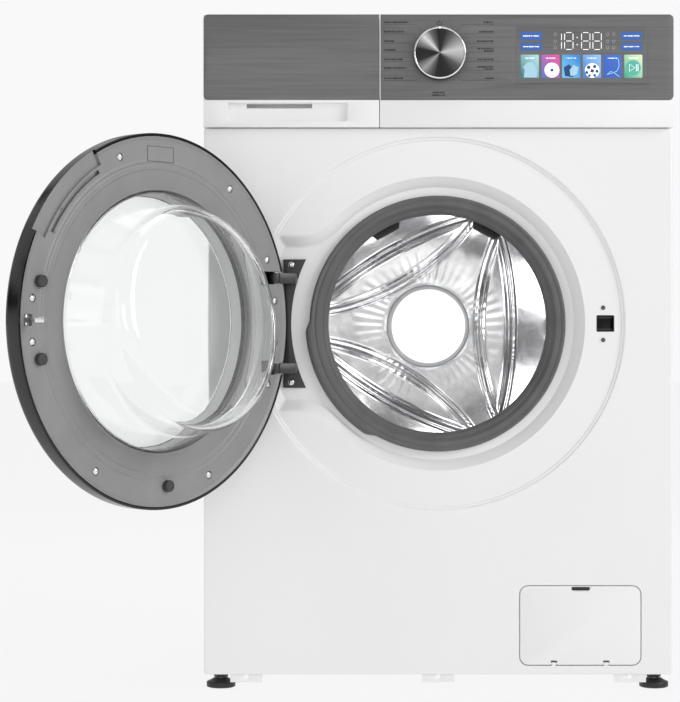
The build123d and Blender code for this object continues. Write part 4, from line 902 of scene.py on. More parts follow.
def make_feet():
    """Four levelling feet: a pad, a threaded stud and a lock nut each."""
    tree = thread_tree(finish("zinc_plated_steel"))
    black = finish("black_nylon")
    nuts = []
    for body, node in (("foot_fl", "foot_front_left"), ("foot_fr", "foot_front_right"),
                       ("foot_rl", "foot_rear_left"), ("foot_rr", "foot_rear_right")):
        low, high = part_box(node)
        x = (low.x + high.x) / 2 / MM
        depth = (low.y + high.y) / 2 / MM - FACE
        pad = upright("pad", rounded([(0, 0), (0, 15.5, 1), (1.2, 18.5, 1), (7.4, 18.5, 2), (9.4, 13.5, 3),
                                      (12, 9.5, 1), (12, 0)]), black, x, depth)
        stud = upright("stud", [(11, 0), (11, 3.6), (42, 3.6), (44.6, 2.4), (44.6, 0)],
                       finish("zinc_plated_steel"), x, depth, 24)
        thread = grown("thread", [at(x, depth, 13)], tree, {"Stud radius": 0.0034, "Height": 0.029})
        fit(merged("levelling_" + node, [pad, stud, thread]), body, node)
        hexagon = [(x + 9.2 * math.cos(math.radians(60 * i)), 9.2 * math.sin(math.radians(60 * i)) + depth)
                   for i in range(6)]
        sections = [[at(px, pd, z) for px, pd in hexagon] for z in (13.1, 18.6)]
        nuts.append(soften(loft("nut", sections, black, ring=False, caps=True), 0.7, 3, 50))
    fit(merged("lock_nuts", nuts), "cabinet", "foot_lock_nuts")


# ---- controls ------------------------------------------------------------------------------
def make_fascia():
    """The white strip and the brushed panel of the control side."""
    carry("fascia", "fascia_body", "moulded_abs", 0.6, "cabinet", "white_plastic")
    carry("control_panel", "panel_film", "brushed_film", 0.35, "cabinet", "brushed_panel")
    carry("display_lens", "display_window", "brushed_film", 0.15, "cabinet")
    low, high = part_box("control_panel")
    seam = block("panel_seam", low.x / MM - 0.25, low.x / MM + 0.75, -10.12, -8.2, low.z / MM + 0.2,
                 high.z / MM - 0.2, finish("moulded_abs"), 0.1)
    fit(seam, "cabinet")


def word(x, z, length, seed, right=False, tall=2.2):
    """A row of short strokes that stands for a word on the legend, without being lettering."""
    rng = random.Random(seed)
    strokes = []
    place = 0.0
    while place < length:
        width = rng.choice((0.7, 0.9, 1.2, 1.6))
        rise = rng.choice((0.0, 0.0, 0.25))
        strokes.append((place, min(place + width, length), rise))
        place += width + rng.choice((0.35, 0.45, 0.9))
    shift = x - (strokes[-1][1] if right else 0)
    return [(shift + a, shift + b, z - tall / 2 + r, z + tall / 2) for a, b, r in strokes]


def flat_bars(name, bars, material, d0=-10.09, d1=-9.95):
    """Thin printed bars from (x0, x1, z0, z1)."""
    bm = bmesh.new()
    for x0, x1, z0, z1 in bars:
        front = [bm.verts.new(at(x, d0, z)) for x, z in ((x0, z0), (x1, z0), (x1, z1), (x0, z1))]
        back = [bm.verts.new(at(x, d1, z)) for x, z in ((x0, z0), (x1, z0), (x1, z1), (x0, z1))]
        bm.faces.new(front)
        bm.faces.new(list(reversed(back)))
        for i in range(4):
            j = (i + 1) % 4
            bm.faces.new((front[i], back[i], back[j], front[j]))
    return finish_object(name, bm, material)


def stroke_path(name, points, width, material, d0=-10.1, d1=-9.95, closed=False):
    """A printed line of even width along (x, z) points."""
    bm = bmesh.new()
    loops = []
    count = len(points)
    for i, (x, z) in enumerate(points):
        before = points[i - 1] if i > 0 or closed else points[0]
        after = points[(i + 1) % count] if i < count - 1 or closed else points[-1]
        way = Vector((after[0] - before[0], after[1] - before[1])).normalized()
        side = Vector((-way.y, way.x)) * width / 2
        loops.append([bm.verts.new(at(x + s * side.x, d, z + s * side.y))
                      for s, d in ((1, d0), (-1, d0), (-1, d1), (1, d1))])
    for one, two in list(zip(loops, loops[1:])) + ([(loops[-1], loops[0])] if closed else []):
        bridge(bm, one, two)
    if not closed:
        bm.faces.new(loops[0])
        bm.faces.new(list(reversed(loops[-1])))
    return finish_object(name, bm, material)


KNOB_AT = (1.0, 805.5)


def make_legend():
    """Printed marks round the selector: strokes in place of words, with a leader line to each position."""
    ink = finish("black_ink")
    rows = (846, 834, 822, 811, 799, 788, 775)
    lengths_left = (31, 25, 13, 15, 24, 29, 24)
    lengths_right = (12, 18, 21, 20, 20, 20, 11)
    bars = []
    lines = []
    for i, z in enumerate(rows):
        bars += word(-69, z, lengths_left[i], 40 + i)
        bars += word(69.5, z + (1.6 if i in (3, 5) else 0), lengths_right[i], 60 + i, right=True)
        if i in (3, 5):
            bars += word(69.5, z - 1.2, lengths_right[i] * 0.6, 80 + i, right=True)
        reach = 35.5
        for side in (-1, 1):
            ray = math.radians((126, 146, 163, 180, 197, 214, 234)[i])
            inner = (KNOB_AT[0] - side * reach * math.cos(ray), KNOB_AT[1] + reach * math.sin(ray))
            drop = z - 2.6
            bend = KNOB_AT[0] + side * max(16 if i in (0, 6) else 0, 40 - abs(i - 3) * 3.5)
            outer = -69 if side < 0 else 69.5
            lines.append(stroke_path("line", [(outer, drop), (bend, drop), inner], 0.28, ink))
    bars += word(-7.5, 757.2, 15, 5) + word(-8.5, 753.6, 17, 6)
    power = [(KNOB_AT[0] + 2.7 * math.cos(math.radians(a)), 845 + 2.7 * math.sin(math.radians(a)))
             for a in range(130, 411, 12)]
    pieces = [flat_bars("legend", bars, ink), *lines, stroke_path("line", power, 0.7, ink),
              flat_bars("mark", [(KNOB_AT[0] - 0.35, KNOB_AT[0] + 0.35, 845, 848.8)], ink)]
    fit(merged("panel_legend", pieces), "cabinet")


def make_display():
    """The lit display: six tiles with plain pictures, four keys, the figures and small signs."""
    white = finish("white_ink")
    tiles = (("2F7C86", "A9D9DE"), ("5B6FC4", "E0539E"), ("6CC3EE", "2E86D6"), ("3D7FD0", "8FC0F0"),
             ("2A5FC0", "3F6FC8"), ("3FB08E", "D8EFC8"))
    pieces = []
    for i, (low, high) in enumerate(tiles):
        x0 = 104.0 + 26.2 * i
        material = tile_print("tile_print_%d" % (i + 1), low, high, x0, x0 + 23, 775.7, 805)
        pieces.append(prism("tile", rounded_box(x0, x0 + 23, 775.7, 805, 1.2), -10.12, -9.95, material))
        pieces.append(flat_bars("word", word(x0 + 5.5, 800.6, 12, 100 + i, tall=1.3), white, -10.16, -10.1))
    dark = printed_ink("deep_blue_ink", "16427E", 0.02)
    pale = printed_ink("ice_ink", "A9D3E6", 0.05)

    def shape(outline, material, d=-10.16):
        pieces.append(prism("picture", outline, d, d + 0.06, material))

    shape(rounded([(108, 776.2), (109, 786, 2), (106.5, 789, 1), (112, 795, 3), (118, 796, 3), (122, 792, 3),
                   (125, 784, 2), (124, 776.2)]), pale)
    shape(circle(143.5, 785.5, 9.4), white)
    for a in range(0, 360, 40):
        pieces.append(stroke_path("slot", [(143.5 + r * math.cos(math.radians(a)),
                                            785.5 + r * math.sin(math.radians(a))) for r in (3.4, 7.6)], 0.7,
                                  finish("pale_ink"), -10.2, -10.14))
    shape(circle(143.5, 785.5, 2.0, 20), dark, -10.2)
    shape([(160, 778), (170, 776.5), (171, 787), (165, 793), (158.5, 789)], dark)
    shape([(167, 778), (175, 780), (177.5, 789), (171, 792), (166, 786)], pale, -10.2)
    shape(circle(194.5, 785, 9.2), white)
    for cx, cz, r in ((190, 789, 2.6), (197.5, 790, 2.4), (187.6, 782.5, 2.2), (194.5, 784.5, 2.6),
                      (200.5, 784, 2.2), (191, 778.6, 1.9), (197.6, 778.8, 2.1)):
        half = r * 0.5
        shape([(cx - r, cz - half), (cx + half, cz - r), (cx + r, cz + half), (cx - half, cz + r)], dark, -10.2)
    ribbon = [(221 + 5.5 * math.sin(t * 0.9) - 3 * t + 6, 798 - 5.2 * t + 2.2 * math.cos(1.5 * t))
              for t in [k * 0.18 for k in range(22)]]
    pieces.append(stroke_path("ribbon", ribbon, 0.9, pale, -10.2, -10.1))
    pieces.append(stroke_path("ribbon", [(213, 779.5), (218, 784), (224, 781), (229, 777)], 0.9, pale, -10.2,
                              -10.1))
    round_key = printed_ink("mint_ink", "58B7A8", 0.05)
    shape(circle(246.4, 788.5, 9.6), round_key)
    pieces.append(stroke_path("play", [(241.6, 793.2), (241.6, 783.8), (248.4, 788.5)], 0.8, white, -10.24,
                              -10.14, closed=True))
    pieces.append(flat_bars("pause", [(250, 250.8, 784, 793), (252, 252.8, 784, 793)], white, -10.22, -10.14))
    for x0, x1 in ((103.5, 131), (231, 257.5)):
        for z0, z1 in ((823.6, 833.8), (810.3, 820)):
            pieces.append(prism("key", rounded_box(x0, x1, z0, z1, 1.0), -10.12, -9.95, finish("key_print")))
            bars = word(x0 + 3.5, (z0 + z1) / 2, x1 - x0 - 7, int(x0 + z0), tall=1.4)
            pieces.append(flat_bars("word", bars, white, -10.16, -10.1))
    segments = []
    for left in (159.6, 181.0, 195.4):
        right, bottom, middle, top = left + 10.6, 811.6, 822.3, 833.0
        for z in (bottom, middle, top):
            segments.append([(left + 1.9, z), (right - 1.9, z)])
        for x in (left, right):
            segments += [[(x, bottom + 1.2), (x, middle - 1.2)], [(x, middle + 1.2), (x, top - 1.2)]]
    segments += [[(155.6, 812.8), (155.6, 821)], [(155.6, 823.4), (155.6, 831.6)]]
    for line in segments:
        pieces.append(stroke_path("segment", line, 0.85, white))
    pieces.append(flat_bars("colon", [(174.8, 176, 817, 818.4), (174.8, 176, 826, 827.4)], white))
    for x in (147.7, 214, 221.7):
        for z in (831, 822, 814):
            pieces.append(stroke_path("sign", circle(x, z, 1.7, 14), 0.45, finish("pale_ink"), closed=True))
    fit(merged("display_prints", pieces), "cabinet")


def make_selector():
    """The selector: a dark ribbed skirt, a bright ring with a pointer gap and a turned disc."""
    x, z = KNOB_AT
    r = sizes().knob_radius / MM
    ribs = 90

    def ribbed(depth, radius, angle):
        if radius > r - 1.2 and depth > -22:
            radius -= 0.28 * (0.5 + 0.5 * math.cos(ribs * angle))
        return depth, radius

    skirt = lathe("skirt", rounded([(-11.2, r - 0.4, 0.4), (-25.2, r - 0.5, 0.3), (-25.2, r - 8),
                                    (-20, r - 8), (-20, r - 3), (-11.2, r - 3)]),
                  finish("black_nylon"), x, z, 360, ribbed)
    stem = lathe("stem", rounded([(4, 0), (4, 3, 0.5), (-22, 3), (-22, r - 5), (-23, r - 5), (-23, 0)]),
                 finish("black_nylon"), x, z, 48)
    fit(merged("selector_skirt", [skirt, stem]), "knob", "selector_knob")
    ring = lathe("ring", rounded([(-25, r - 0.3, 0.3), (-27.4, r - 0.9, 0.7), (-27.9, r - 2.2, 0.5),
                                  (-27.2, r - 2.9, 0.2), (-25, r - 2.9)]), finish("chromed_zinc"), x, z, 240)
    gap = block("cutter", x - 0.8, x + 0.8, -29, -25.6, z + r - 4, z + r + 1, finish("chromed_zinc"), 0)
    cut(ring, gap)
    disc = lathe("disc", rounded([(-25, 0), (-25, r - 3.1), (-27.0, r - 3.1, 0.3), (-27.2, r - 3.6, 0.2),
                                  (-27.2, 0)]), spun_aluminium(x, z), x, z, 192)
    fit(merged("selector_face", [ring, disc]), "knob", "knob_cap", slot="brushed_panel")


def make_drawer():
    """The detergent drawer: brushed front, handle, tray and the softener cap."""
    carry("drawer_front", "drawer_film", "brushed_film", 0.35, "drawer", "brushed_panel")
    carry("drawer_handle", "drawer_grip", "moulded_abs", 0.6, "drawer", "white_plastic")
    carry("drawer_tray", "drawer_trough", "moulded_abs", 0.5, "drawer")
    carry("softener_cap", "softener_siphon", "blue_polypropylene", 0.5, "drawer")


# ---- gasket and drum -----------------------------------------------------------------------
def make_gasket():
    """The rubber bellows between door and tub, with its flange and the spray nozzles."""
    lip = sizes().gasket_lip / MM
    outline = rounded([(18.2, 163.6, 1.2), (10.8, 162.8, 1.2), (9.4, 160.8, 1.4), (10.6, 158.6, 0.8),
                       (11.6, 157.2, 0.6), (10.9, 155.2, 0.8), (11.4, 151.0, 2.0), (16.0, 147.6, 1.5),
                       (17.2, 146.6, 0.5), (16.8, 145.0, 0.8), (20.0, 141.8, 2.0), (28.5, lip, 1.4),
                       (34.0, lip + 0.8, 1.5), (38.0, 148.6, 2.0), (44.0, 150.0, 1.5), (50.0, 148.0, 2.0),
                       (69.8, 148.2, 1.0), (69.8, 159.3, 0.6), (62.0, 159.5, 0.6), (54.0, 159.0, 1.5),
                       (49.0, 155.2, 2.0), (42.0, 156.3, 1.5), (36.0, 154.8, 2.0), (29.0, 149.0, 1.5),
                       (25.0, 150.5, 1.0), (24.0, 157.0, 1.0), (18.2, 157.3, 0.5)], 4)

    def flange(depth, radius, angle):
        degrees = math.degrees(angle) % 360
        grow = smooth(degrees, 178, 184) * (1 - smooth(degrees, 236, 242))
        if radius > 158.2 and depth < 18.5:
            radius += 5.5 * grow * (radius - 158.2) / 5.4
        return depth, radius

    fit(lathe("door_bellows", outline, finish("epdm_rubber"), segments=320, warp=flange), "cabinet",
        "door_gasket")
    nozzles = []
    for degrees in (62, 118):
        outline = []
        for across, radial, r in ((-22, 142.5, 1), (22, 142.5, 1), (15.5, 131.6, 2), (-15.5, 131.6, 2)):
            a = math.radians(degrees)
            outline.append((radial * math.cos(a) - across * math.sin(a),
                            DRUM_Z + radial * math.sin(a) + across * math.cos(a), r))
        body = prism("nozzle", rounded(outline, 3), 60, 69, finish("black_nylon"), 0.6)
        for across in (-8, 0, 8):
            x = 137 * math.cos(a) - across * math.sin(a)
            z = DRUM_Z + 137 * math.sin(a) + across * math.cos(a)
            cut(body, prism("cutter", circle(x, z, 1.6, 12), 59, 64, finish("black_nylon")))
        nozzles.append(body)
    fit(merged("jet_nozzles", nozzles), "cabinet", "spray_nozzles")


def back_depth(x, z):
    """Depth of the drum's pressed back at a point from the drum's axis."""
    radius = math.hypot(x, z)
    angle = math.degrees(math.atan2(z, x))
    depth = 349.0 - 5.0 * (1 - smooth(radius, 168, 228))
    flutes = (smooth(radius, 63, 70) * (1 - smooth(radius, 96, 112))
              * (0.07 + 0.05 * math.sin(math.radians(angle * 5))) * math.cos(math.radians(angle * 48)))
    depth -= flutes
    for middle in (0, 120, 240):
        a = math.radians(middle)
        along = -x * math.sin(a) + z * math.cos(a)
        out = x * math.cos(a) + z * math.sin(a)
        if out < 0:
            continue
        half = 25 * max(1 - (abs(along) / 134) ** 2.0, 0) ** 0.85 + 3.0
        bow = 95 + 3.0 * (along / 100) ** 2
        gap = abs(out - bow) - half
        if abs(along) < 138:
            fade = 1 - smooth(abs(along), 124, 138)
            rim = math.exp(-((gap / 1.9) ** 2)) + 0.8 * math.exp(-(((gap + 7.0) / 1.9) ** 2))
            rise = 8.5 * (1 - smooth(gap, -15, 0)) + 2.6 * rim
            depth -= rise * fade
    return depth


def make_drum():
    """The drum: drawn back with three boat-shaped ribs, wall with dark discs as painted shade for its holes,
    lifters, spider and pulley.
    """
    steel = finish("drawn_stainless")
    count = 512
    bm = bmesh.new()
    radii = [60.5 + 1.35 * i for i in range(82)] + [173, 178, 184, 190, 197, 205, 213, 221, 228, 233, 236.4]
    loops = []
    for radius in radii:
        loops.append([bm.verts.new(at(x, back_depth(x, z) if radius > 61 else 347.0, DRUM_Z + z))
                      for x, z in circle(0, 0, radius, count)])
    for radius in (236.6, 60.5):
        loops.append([bm.verts.new(at(x, 350, z)) for x, z in circle(0, DRUM_Z, radius, count)])
    for one, two in zip(loops, loops[1:] + loops[:1]):
        bridge(bm, one, two)
    sheet = finish_object("drum_back_sheet", bm, steel, 60)
    fit(sheet, "drum", "drum_back", slot="drum_steel")
    ring = lathe("hub_ring", rounded([(349.9, 57.8), (349.9, 63.0), (345.4, 62.6, 0.9), (343.4, 61.2, 0.9),
                                      (345.2, 60.2, 0.4), (343.6, 59.0, 0.8), (345.4, 57.8, 0.5)]),
                 polished_metal("hub_stainless", "E6E7E8", 0.2), segments=192)
    fit(ring, "drum")
    side = lathe("hub_side", rounded([(349.5, 40), (349.5, 57.4), (346.6, 57.2, 0.8), (326.4, 51.9, 0.6),
                                      (326.4, 40)]), finish("moulded_abs"), segments=128)
    fit(side, "drum")
    boss = lathe("hub_cover", rounded([(326.3, 0), (326.3, 51.7, 0.3), (325.1, 50.9, 0.6), (325.0, 0)]),
                 finish("white_hub"), segments=128)
    fit(boss, "drum")
    shell = lathe("drum_wall", rounded([(74, 156, 1), (74, 162, 3), (80, 168, 3), (80, 238, 4), (350, 238, 1),
                                        (350, 237, 0.4), (81, 237, 3.4), (81, 168, 2.6), (76.6, 162.5, 2.4),
                                        (76.2, 156, 1)], 4), steel, segments=256)
    fit(shell, "drum", "drum_shell", slot="drum_steel")
    pitch = sizes().hole_pitch
    # the holes are not cut: dark discs on the wall stand for them, painted shade
    holes = grown("drum_drain_holes", [(0, 0, 0)], hole_tree(finish("black_nylon")),
                  {"Rows": int(0.235 / (pitch * 0.87)), "Holes round": int(2 * math.pi * 0.237 / pitch),
                   "Drum radius": 0.2369, "Length": 0.235, "Hole radius": sizes().hole_radius,
                   "Middle": at(0, 98, DRUM_Z)})
    fit(holes, "drum")
    carry("drum_lifters", "drum_paddles", "drawn_stainless", 1.0, "drum", "drum_steel")
    carry("drum_spider", "drum_cross", "cast_aluminium", 1.2, "drum")
    carry("drum_pulley", "belt_wheel", "cast_aluminium", 0.8, "drum")


# ---- door ----------------------------------------------------------------------------------
def grip_cutter(name, r0, r1, d0, d1, start=27.0, end=62.0):
    """A sector of a ring between two depths."""
    outline = [polar(r1, start + (end - start) * i / 24) for i in range(25)]
    outline += [polar(r0, end - (end - start) * i / 24) for i in range(25)]
    return prism(name, outline, d0, d1, finish("grained_grey_abs"))


def arm_cutters():
    """Clearance round the fixed hinge arms."""
    return [block("cutter", -229, -181, -22.5, 0.5, DRUM_Z + z - 8, DRUM_Z + z + 8, finish("dark_enamel"), 0)
            for z in HINGE_ARMS]


def make_door_rim():
    """The gloss rim with the outer window."""
    black = finish("gloss_black_abs")
    outline = rounded([(-8, 221.8, 0.6), (-8, 225, 0.8), (-35, 225, 11), (-37.2, 200, 30), (-42, 151.4, 0.8),
                       (-39, 151.4, 0.6), (-31.5, 208, 6), (-24, 220, 3)], 8)
    rim = lathe("door_rim", outline, black, segments=288, sharp=40)
    cut(rim, *arm_cutters(), grip_cutter("cutter", 206, 232, -13.6, -7))
    fit(rim, "door", "door_outer_frame", door=True, slot="door_black")
    edge = sizes().window_radius / MM
    pane = lathe("door_pane", rounded([(-39.1, 0), (-39.1, edge), (-42.2, edge, 0.8), (-43.6, 110, 40),
                                       (-44, 0)], 8), finish("clear_acrylic"), segments=160)
    fit(pane, "door", "door_window", door=True)
    sleeve = lathe("window_sleeve", rounded([(-22.3, 154.9), (-22.3, 158.4, 0.5), (-38.9, 153.6, 0.5),
                                             (-38.9, 151.5)]), finish("moulded_abs"), segments=192)
    fit(sleeve, "door", door=True)


def make_door_inner():
    """The grey inner frame with its raised ring, grip, plate field and screw wells."""
    grey = finish("grained_grey_abs")
    outline = rounded([(-8, 157.3, 0.6), (-8, 180.5, 1.0), (-6.9, 183.2, 1.6), (-9.0, 186.6, 1.4),
                       (-9.4, 189, 1.0), (-8.6, 191, 1.2), (-9.2, 194, 1.0), (-9.4, 217, 1.5),
                       (-8, 220.2, 0.8),
                       (-8, 221.5, 0.4), (-18, 216.6), (-18, 157.3)], 5)
    frame_ring = lathe("door_liner", outline, grey, segments=288, sharp=40)
    cutters = arm_cutters() + [grip_cutter("cutter", 206, 232, -13, -6),
                               grip_cutter("cutter", 198, 203, -13.5, -6, 30, 60)]
    for degrees in DOOR_SCREWS:
        x, z = polar(DOOR_SCREW_RING, degrees)
        cutters.append(prism("cutter", circle(x, z, 4.9, 24), -11.5, -5, grey))
    for sx0, sx1, sz0, sz1 in ((-22, 22, 190.5, 191.5), (-22, 22, 208.5, 209.5), (-22, -21, 190.5, 209.5),
                               (21, 22, 190.5, 209.5)):
        cutters.append(block("cutter", sx0, sx1, -10.4, -6, DRUM_Z + sz0, DRUM_Z + sz1, grey, 0))
    cutters.append(block("cutter", 203, 215.5, -13, -5, DRUM_Z - 6.8, DRUM_Z + 6.8, grey, 0, 1.5))
    cut(frame_ring, *cutters)
    floor = grip_cutter("grip_floor", 205, 224.8, -15, -13.02, 27.4, 61.6)
    frame_ring = merged("door_liner", [frame_ring, floor])
    fit(frame_ring, "door", "door_inner_frame", door=True, slot="door_grey")
    seal = lathe("glass_seat", rounded([(-8.2, 156.7), (-7.4, 157.4, 0.4), (-7.4, 159.4, 0.4), (-8.4, 160),
                                        (-10, 160), (-10, 156.7)], 3), grey, segments=192)
    fit(seal, "door", door=True)


def make_glass():
    """The pressed glass bowl, deepest at the bottom, with a rounded foot and a flange."""
    wall = sizes().glass_wall / MM
    lean = 0.16
    sections = []
    count = 224

    def end_at(radius, sine, shrink):
        return -8 + 76 - shrink - lean * radius * sine

    for i in range(count):
        a = 2 * math.pi * i / count
        sine = math.sin(a)
        outside = end_at(126, sine, 0)
        corner = 137.0 - (outside - 30) * 15 / 76
        outer = rounded([(-22, 156.2), (-22, 163.8, 1.0), (-18.3, 163.8, 1.0), (-17.2, 157.6, 1.2),
                         (-8.5, 156.2, 5), (4, 150.0, 18), (30, 137.0, 26), (outside, corner, 21),
                         (end_at(60, sine, 0), 60, 60), (end_at(0, sine, 0), 0)], 8, closed=False)
        inside = end_at(122, sine, wall)
        inner_corner = corner - wall
        inner = rounded([(end_at(0, sine, wall), 0), (end_at(56, sine, wall), 56, 60),
                         (inside, inner_corner, 17), (30, 133.0, 22), (4, 146.0, 14), (-8.5, 152.0, 5),
                         (-22, 152.4, 0.8)], 8, closed=False)
        line = outer + inner
        sections.append([at(r * math.cos(a), d, DRUM_Z + r * sine) for d, r in line])
    glass = loft("door_bowl", sections, finish("pressed_glass"), 60)
    fit(glass, "door", "door_glass", door=True)


def make_door_fittings():
    """Screws, rubber stops, the latch and the hinge pins."""
    tree = screw_tree(finish("chromed_zinc"))
    spots = []
    for degrees in DOOR_SCREWS:
        x, z = polar(DOOR_SCREW_RING, degrees)
        spots.append(at(x, -10.4, z))
    screws = grown("door_fasteners", spots, tree, {"Head radius": 0.0043, "Dome": 0.62, "Seed": 5,
                                                   "Facing": TO_REAR})
    fit(screws, "door", "door_screws", door=True)
    stops = []
    for degrees in (13, 267, 347):
        x, z = polar(197, degrees)
        stops.append(lathe("stop", rounded([(-9.6, 0), (-9.6, 7.2, 0.3), (-3.0, 7.0, 0.6), (-2.2, 6.2, 0.4),
                                            (-2.2, 5.2, 0.3), (-2.9, 4.6, 0.3), (-2.9, 0)]),
                           finish("nitrile_rubber"), x, z, 40))
    fit(merged("door_stops", stops), "door", "door_bumpers", door=True)
    carry("latch_hook", "latch", "chromed_zinc", 0.4, "latch")
    carry("hinge_pins", "hinge_rods", "ground_steel", 0.3, "door")


# ---- inside works --------------------------------------------------------------------------
WORKS = {
    "tub_front": "filled_polypropylene", "tub_rear": "filled_polypropylene", "bearings": "ground_steel",
    "motor_housing": "motor_lacquer", "motor_rotor": "ground_steel", "drive_belt": "hose_rubber",
    "counterweights": "cast_concrete", "suspension_springs": "sprung_steel",
    "dampers": "filled_polypropylene",
    "heater": "ground_steel", "dispenser_housing": "filled_polypropylene", "fill_hose": "hose_rubber",
    "sump_hose": "hose_rubber", "drain_pump": "filled_polypropylene", "control_board": "circuit_laminate",
}


def finish_works():
    """Gives the carried-over CAD parts inside the cabinet their finishes."""
    for node, name in WORKS.items():
        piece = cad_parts[node]
        if not piece.material_slots:
            piece.data.materials.append(finish(name))
        for place in piece.material_slots:
            place.material = finish(name)


# ---- stage ---------------------------------------------------------------------------------
def make_stage():
    """A plain pale floor, soft studio lights and the camera."""
    pale = colours().backdrop
    material = bpy.data.materials.new("studio_paper")
    material.use_nodes = True
    tree = material.node_tree
    tree.nodes.clear()
    glow = add(tree, "ShaderNodeEmission", {"Color": pale, "Strength": 0.985})
    matt = add(tree, "ShaderNodeBsdfDiffuse", {"Color": pale})
    both = add(tree, "ShaderNodeMixShader", {"Fac": 0.06, 1: glow.outputs["Emission"],
                                             2: matt.outputs["BSDF"]})
    add(tree, "ShaderNodeOutputMaterial", {"Surface": both.outputs["Shader"]}).is_active_output = True
    bm = bmesh.new()
    # half a millimetre under the feet
    rings = [[bm.verts.new((x, y, -0.0005)) for x, y in circle(0, 0, radius)] for radius in (1.5, 6.0, 30.0)]
    bm.faces.new(rings[0])
    for one, two in zip(rings, rings[1:]):
        bridge(bm, two, one)
    paper = finish_object("studio_floor", bm, material, 80, outward=False)
    world = bpy.data.worlds.new("studio")
    bpy.context.scene.world = world
    world.use_nodes = True
    tree = world.node_tree
    tree.nodes.clear()
    way = add(tree, "ShaderNodeTexCoord")
    bands = add(tree, "ShaderNodeMapping", {"Vector": way.outputs["Generated"], "Scale": (6.5, 2.2, 5.5)})
    cards = add(tree, "ShaderNodeTexNoise", {"Vector": bands.outputs["Vector"], "Scale": 1.0, "Detail": 1.0})
    ramp = add(tree, "ShaderNodeValToRGB", {"Fac": cards.outputs["Fac"]})
    ramp.color_ramp.elements[0].position = 0.36
    ramp.color_ramp.elements[1].position = 0.5
    ramp.color_ramp.elements[0].color = (0.04, 0.04, 0.04, 1)
    ramp.color_ramp.elements[1].color = (1.0, 1.0, 1.0, 1)
    light = add(tree, "ShaderNodeBackground", {"Color": ramp.outputs["Color"], "Strength": 0.72})
    plain = add(tree, "ShaderNodeBackground", {"Color": pale, "Strength": 1.0})
    path = add(tree, "ShaderNodeLightPath")
    # the plain backdrop is what the camera sees, directly or through glass; the patchy one lights the metal
    seen = calc(tree, "MAXIMUM", path.outputs["Is Camera Ray"], path.outputs["Is Transmission Ray"])
    mix = add(tree, "ShaderNodeMixShader", {"Fac": seen, 1: light.outputs["Background"],
                                            2: plain.outputs["Background"]})
    add(tree, "ShaderNodeOutputWorld", {"Surface": mix.outputs["Shader"]})
    # name, place, aim, width, height and watts
    lights = [("key_light", (3.1, -1.9, 2.0), (0.1, -0.2, 0.45), 1.4, 1.6, 62.0),
              ("front_light", (-0.3, -4.6, 1.3), (0.0, 0.0, 0.46), 2.0, 1.4, 11.0),
              ("door_light", (-1.7, -1.9, 0.9), (-0.35, -0.4, 0.45), 0.9, 1.2, 5.0),
              ("top_light", (0.2, 0.2, 3.0), (0.0, 0.0, 0.4), 2.2, 2.2, 13.0),
              ("back_light", (0.6, 2.4, 1.9), (0.0, 0.2, 0.5), 1.8, 1.2, 20.0)]
    for k in range(7):
        # small lamps inside the drum, hidden by the gasket's lip, that brighten its back
        x, z = polar(196, 20 + 360 * k / 7)
        place = at(x, 92, z)
        lights.append(("drum_lamp_%d" % k, place, place + Vector((0, 1, 0)), 0.075, 0.06, 0.12))
    for name, place, aim, width, tall, power in lights:
        data = bpy.data.lights.new(name, "AREA")
        data.shape = "RECTANGLE"
        data.size = width
        data.size_y = tall
        data.energy = power
        lamp = placed(name, data)
        lamp.location = place
        lamp.rotation_euler = (Vector(aim) - Vector(place)).to_track_quat("-Z", "Y").to_euler()
        # the door's lamp would stand as a rectangle in the bowl
        lamp.visible_glossy = name != "door_light"
    lens = bpy.data.cameras.new("camera")
    lens.lens = 119.13
    lens.sensor_width = 36.0
    lens.clip_end = 60.0
    camera = placed("camera", lens)
    camera.location = (-0.1247, FACE * MM - 2.95, 0.430)
    camera.rotation_euler = (math.pi / 2, 0, 0)
    bpy.context.scene.camera = camera
    bpy.context.scene.view_settings.view_transform = "Standard"


# ---- operators -----------------------------------------------------------------------------
class WASHER_OT_stage(bpy.types.Operator):
    """Lays the pale floor, the studio lights and the camera"""
    bl_idname = "washer.stage"
    bl_label = "Stage"

    def execute(self, context):
        make_stage()
        return {"FINISHED"}


class WASHER_OT_cabinet(bpy.types.Operator):
    """Makes the folded sheets, the lid and the rear fittings"""
    bl_idname = "washer.cabinet"
    bl_label = "Cabinet"

    def execute(self, context):
        make_cabinet()
        return {"FINISHED"}


class WASHER_OT_front_sheet(bpy.types.Operator):
    """Makes the pressed front sheet"""
    bl_idname = "washer.front_sheet"
    bl_label = "Front sheet"

    def execute(self, context):
        make_front_sheet()
        return {"FINISHED"}


class WASHER_OT_lock_and_hinge(bpy.types.Operator):
    """Makes the lock, the hinge bracket and the cabinet's screws"""
    bl_idname = "washer.lock_and_hinge"
    bl_label = "Lock and hinge"

    def execute(self, context):
        make_lock_and_hinge()
        return {"FINISHED"}


class WASHER_OT_filter_door(bpy.types.Operator):
    """Makes the filter flap and its cap"""
    bl_idname = "washer.filter_door"
    bl_label = "Filter door"

    def execute(self, context):
        make_filter_door()
        return {"FINISHED"}


class WASHER_OT_feet(bpy.types.Operator):
    """Makes the four levelling feet and their lock nuts"""
    bl_idname = "washer.feet"
    bl_label = "Feet"

    def execute(self, context):
        make_feet()
        return {"FINISHED"}


class WASHER_OT_fascia(bpy.types.Operator):
    """Makes the fascia, the brushed panel and its window"""
    bl_idname = "washer.fascia"
    bl_label = "Fascia"

    def execute(self, context):
        make_fascia()
        return {"FINISHED"}


class WASHER_OT_legend(bpy.types.Operator):
    """Prints the marks round the selector"""
    bl_idname = "washer.legend"
    bl_label = "Legend"

    def execute(self, context):
        make_legend()
        return {"FINISHED"}


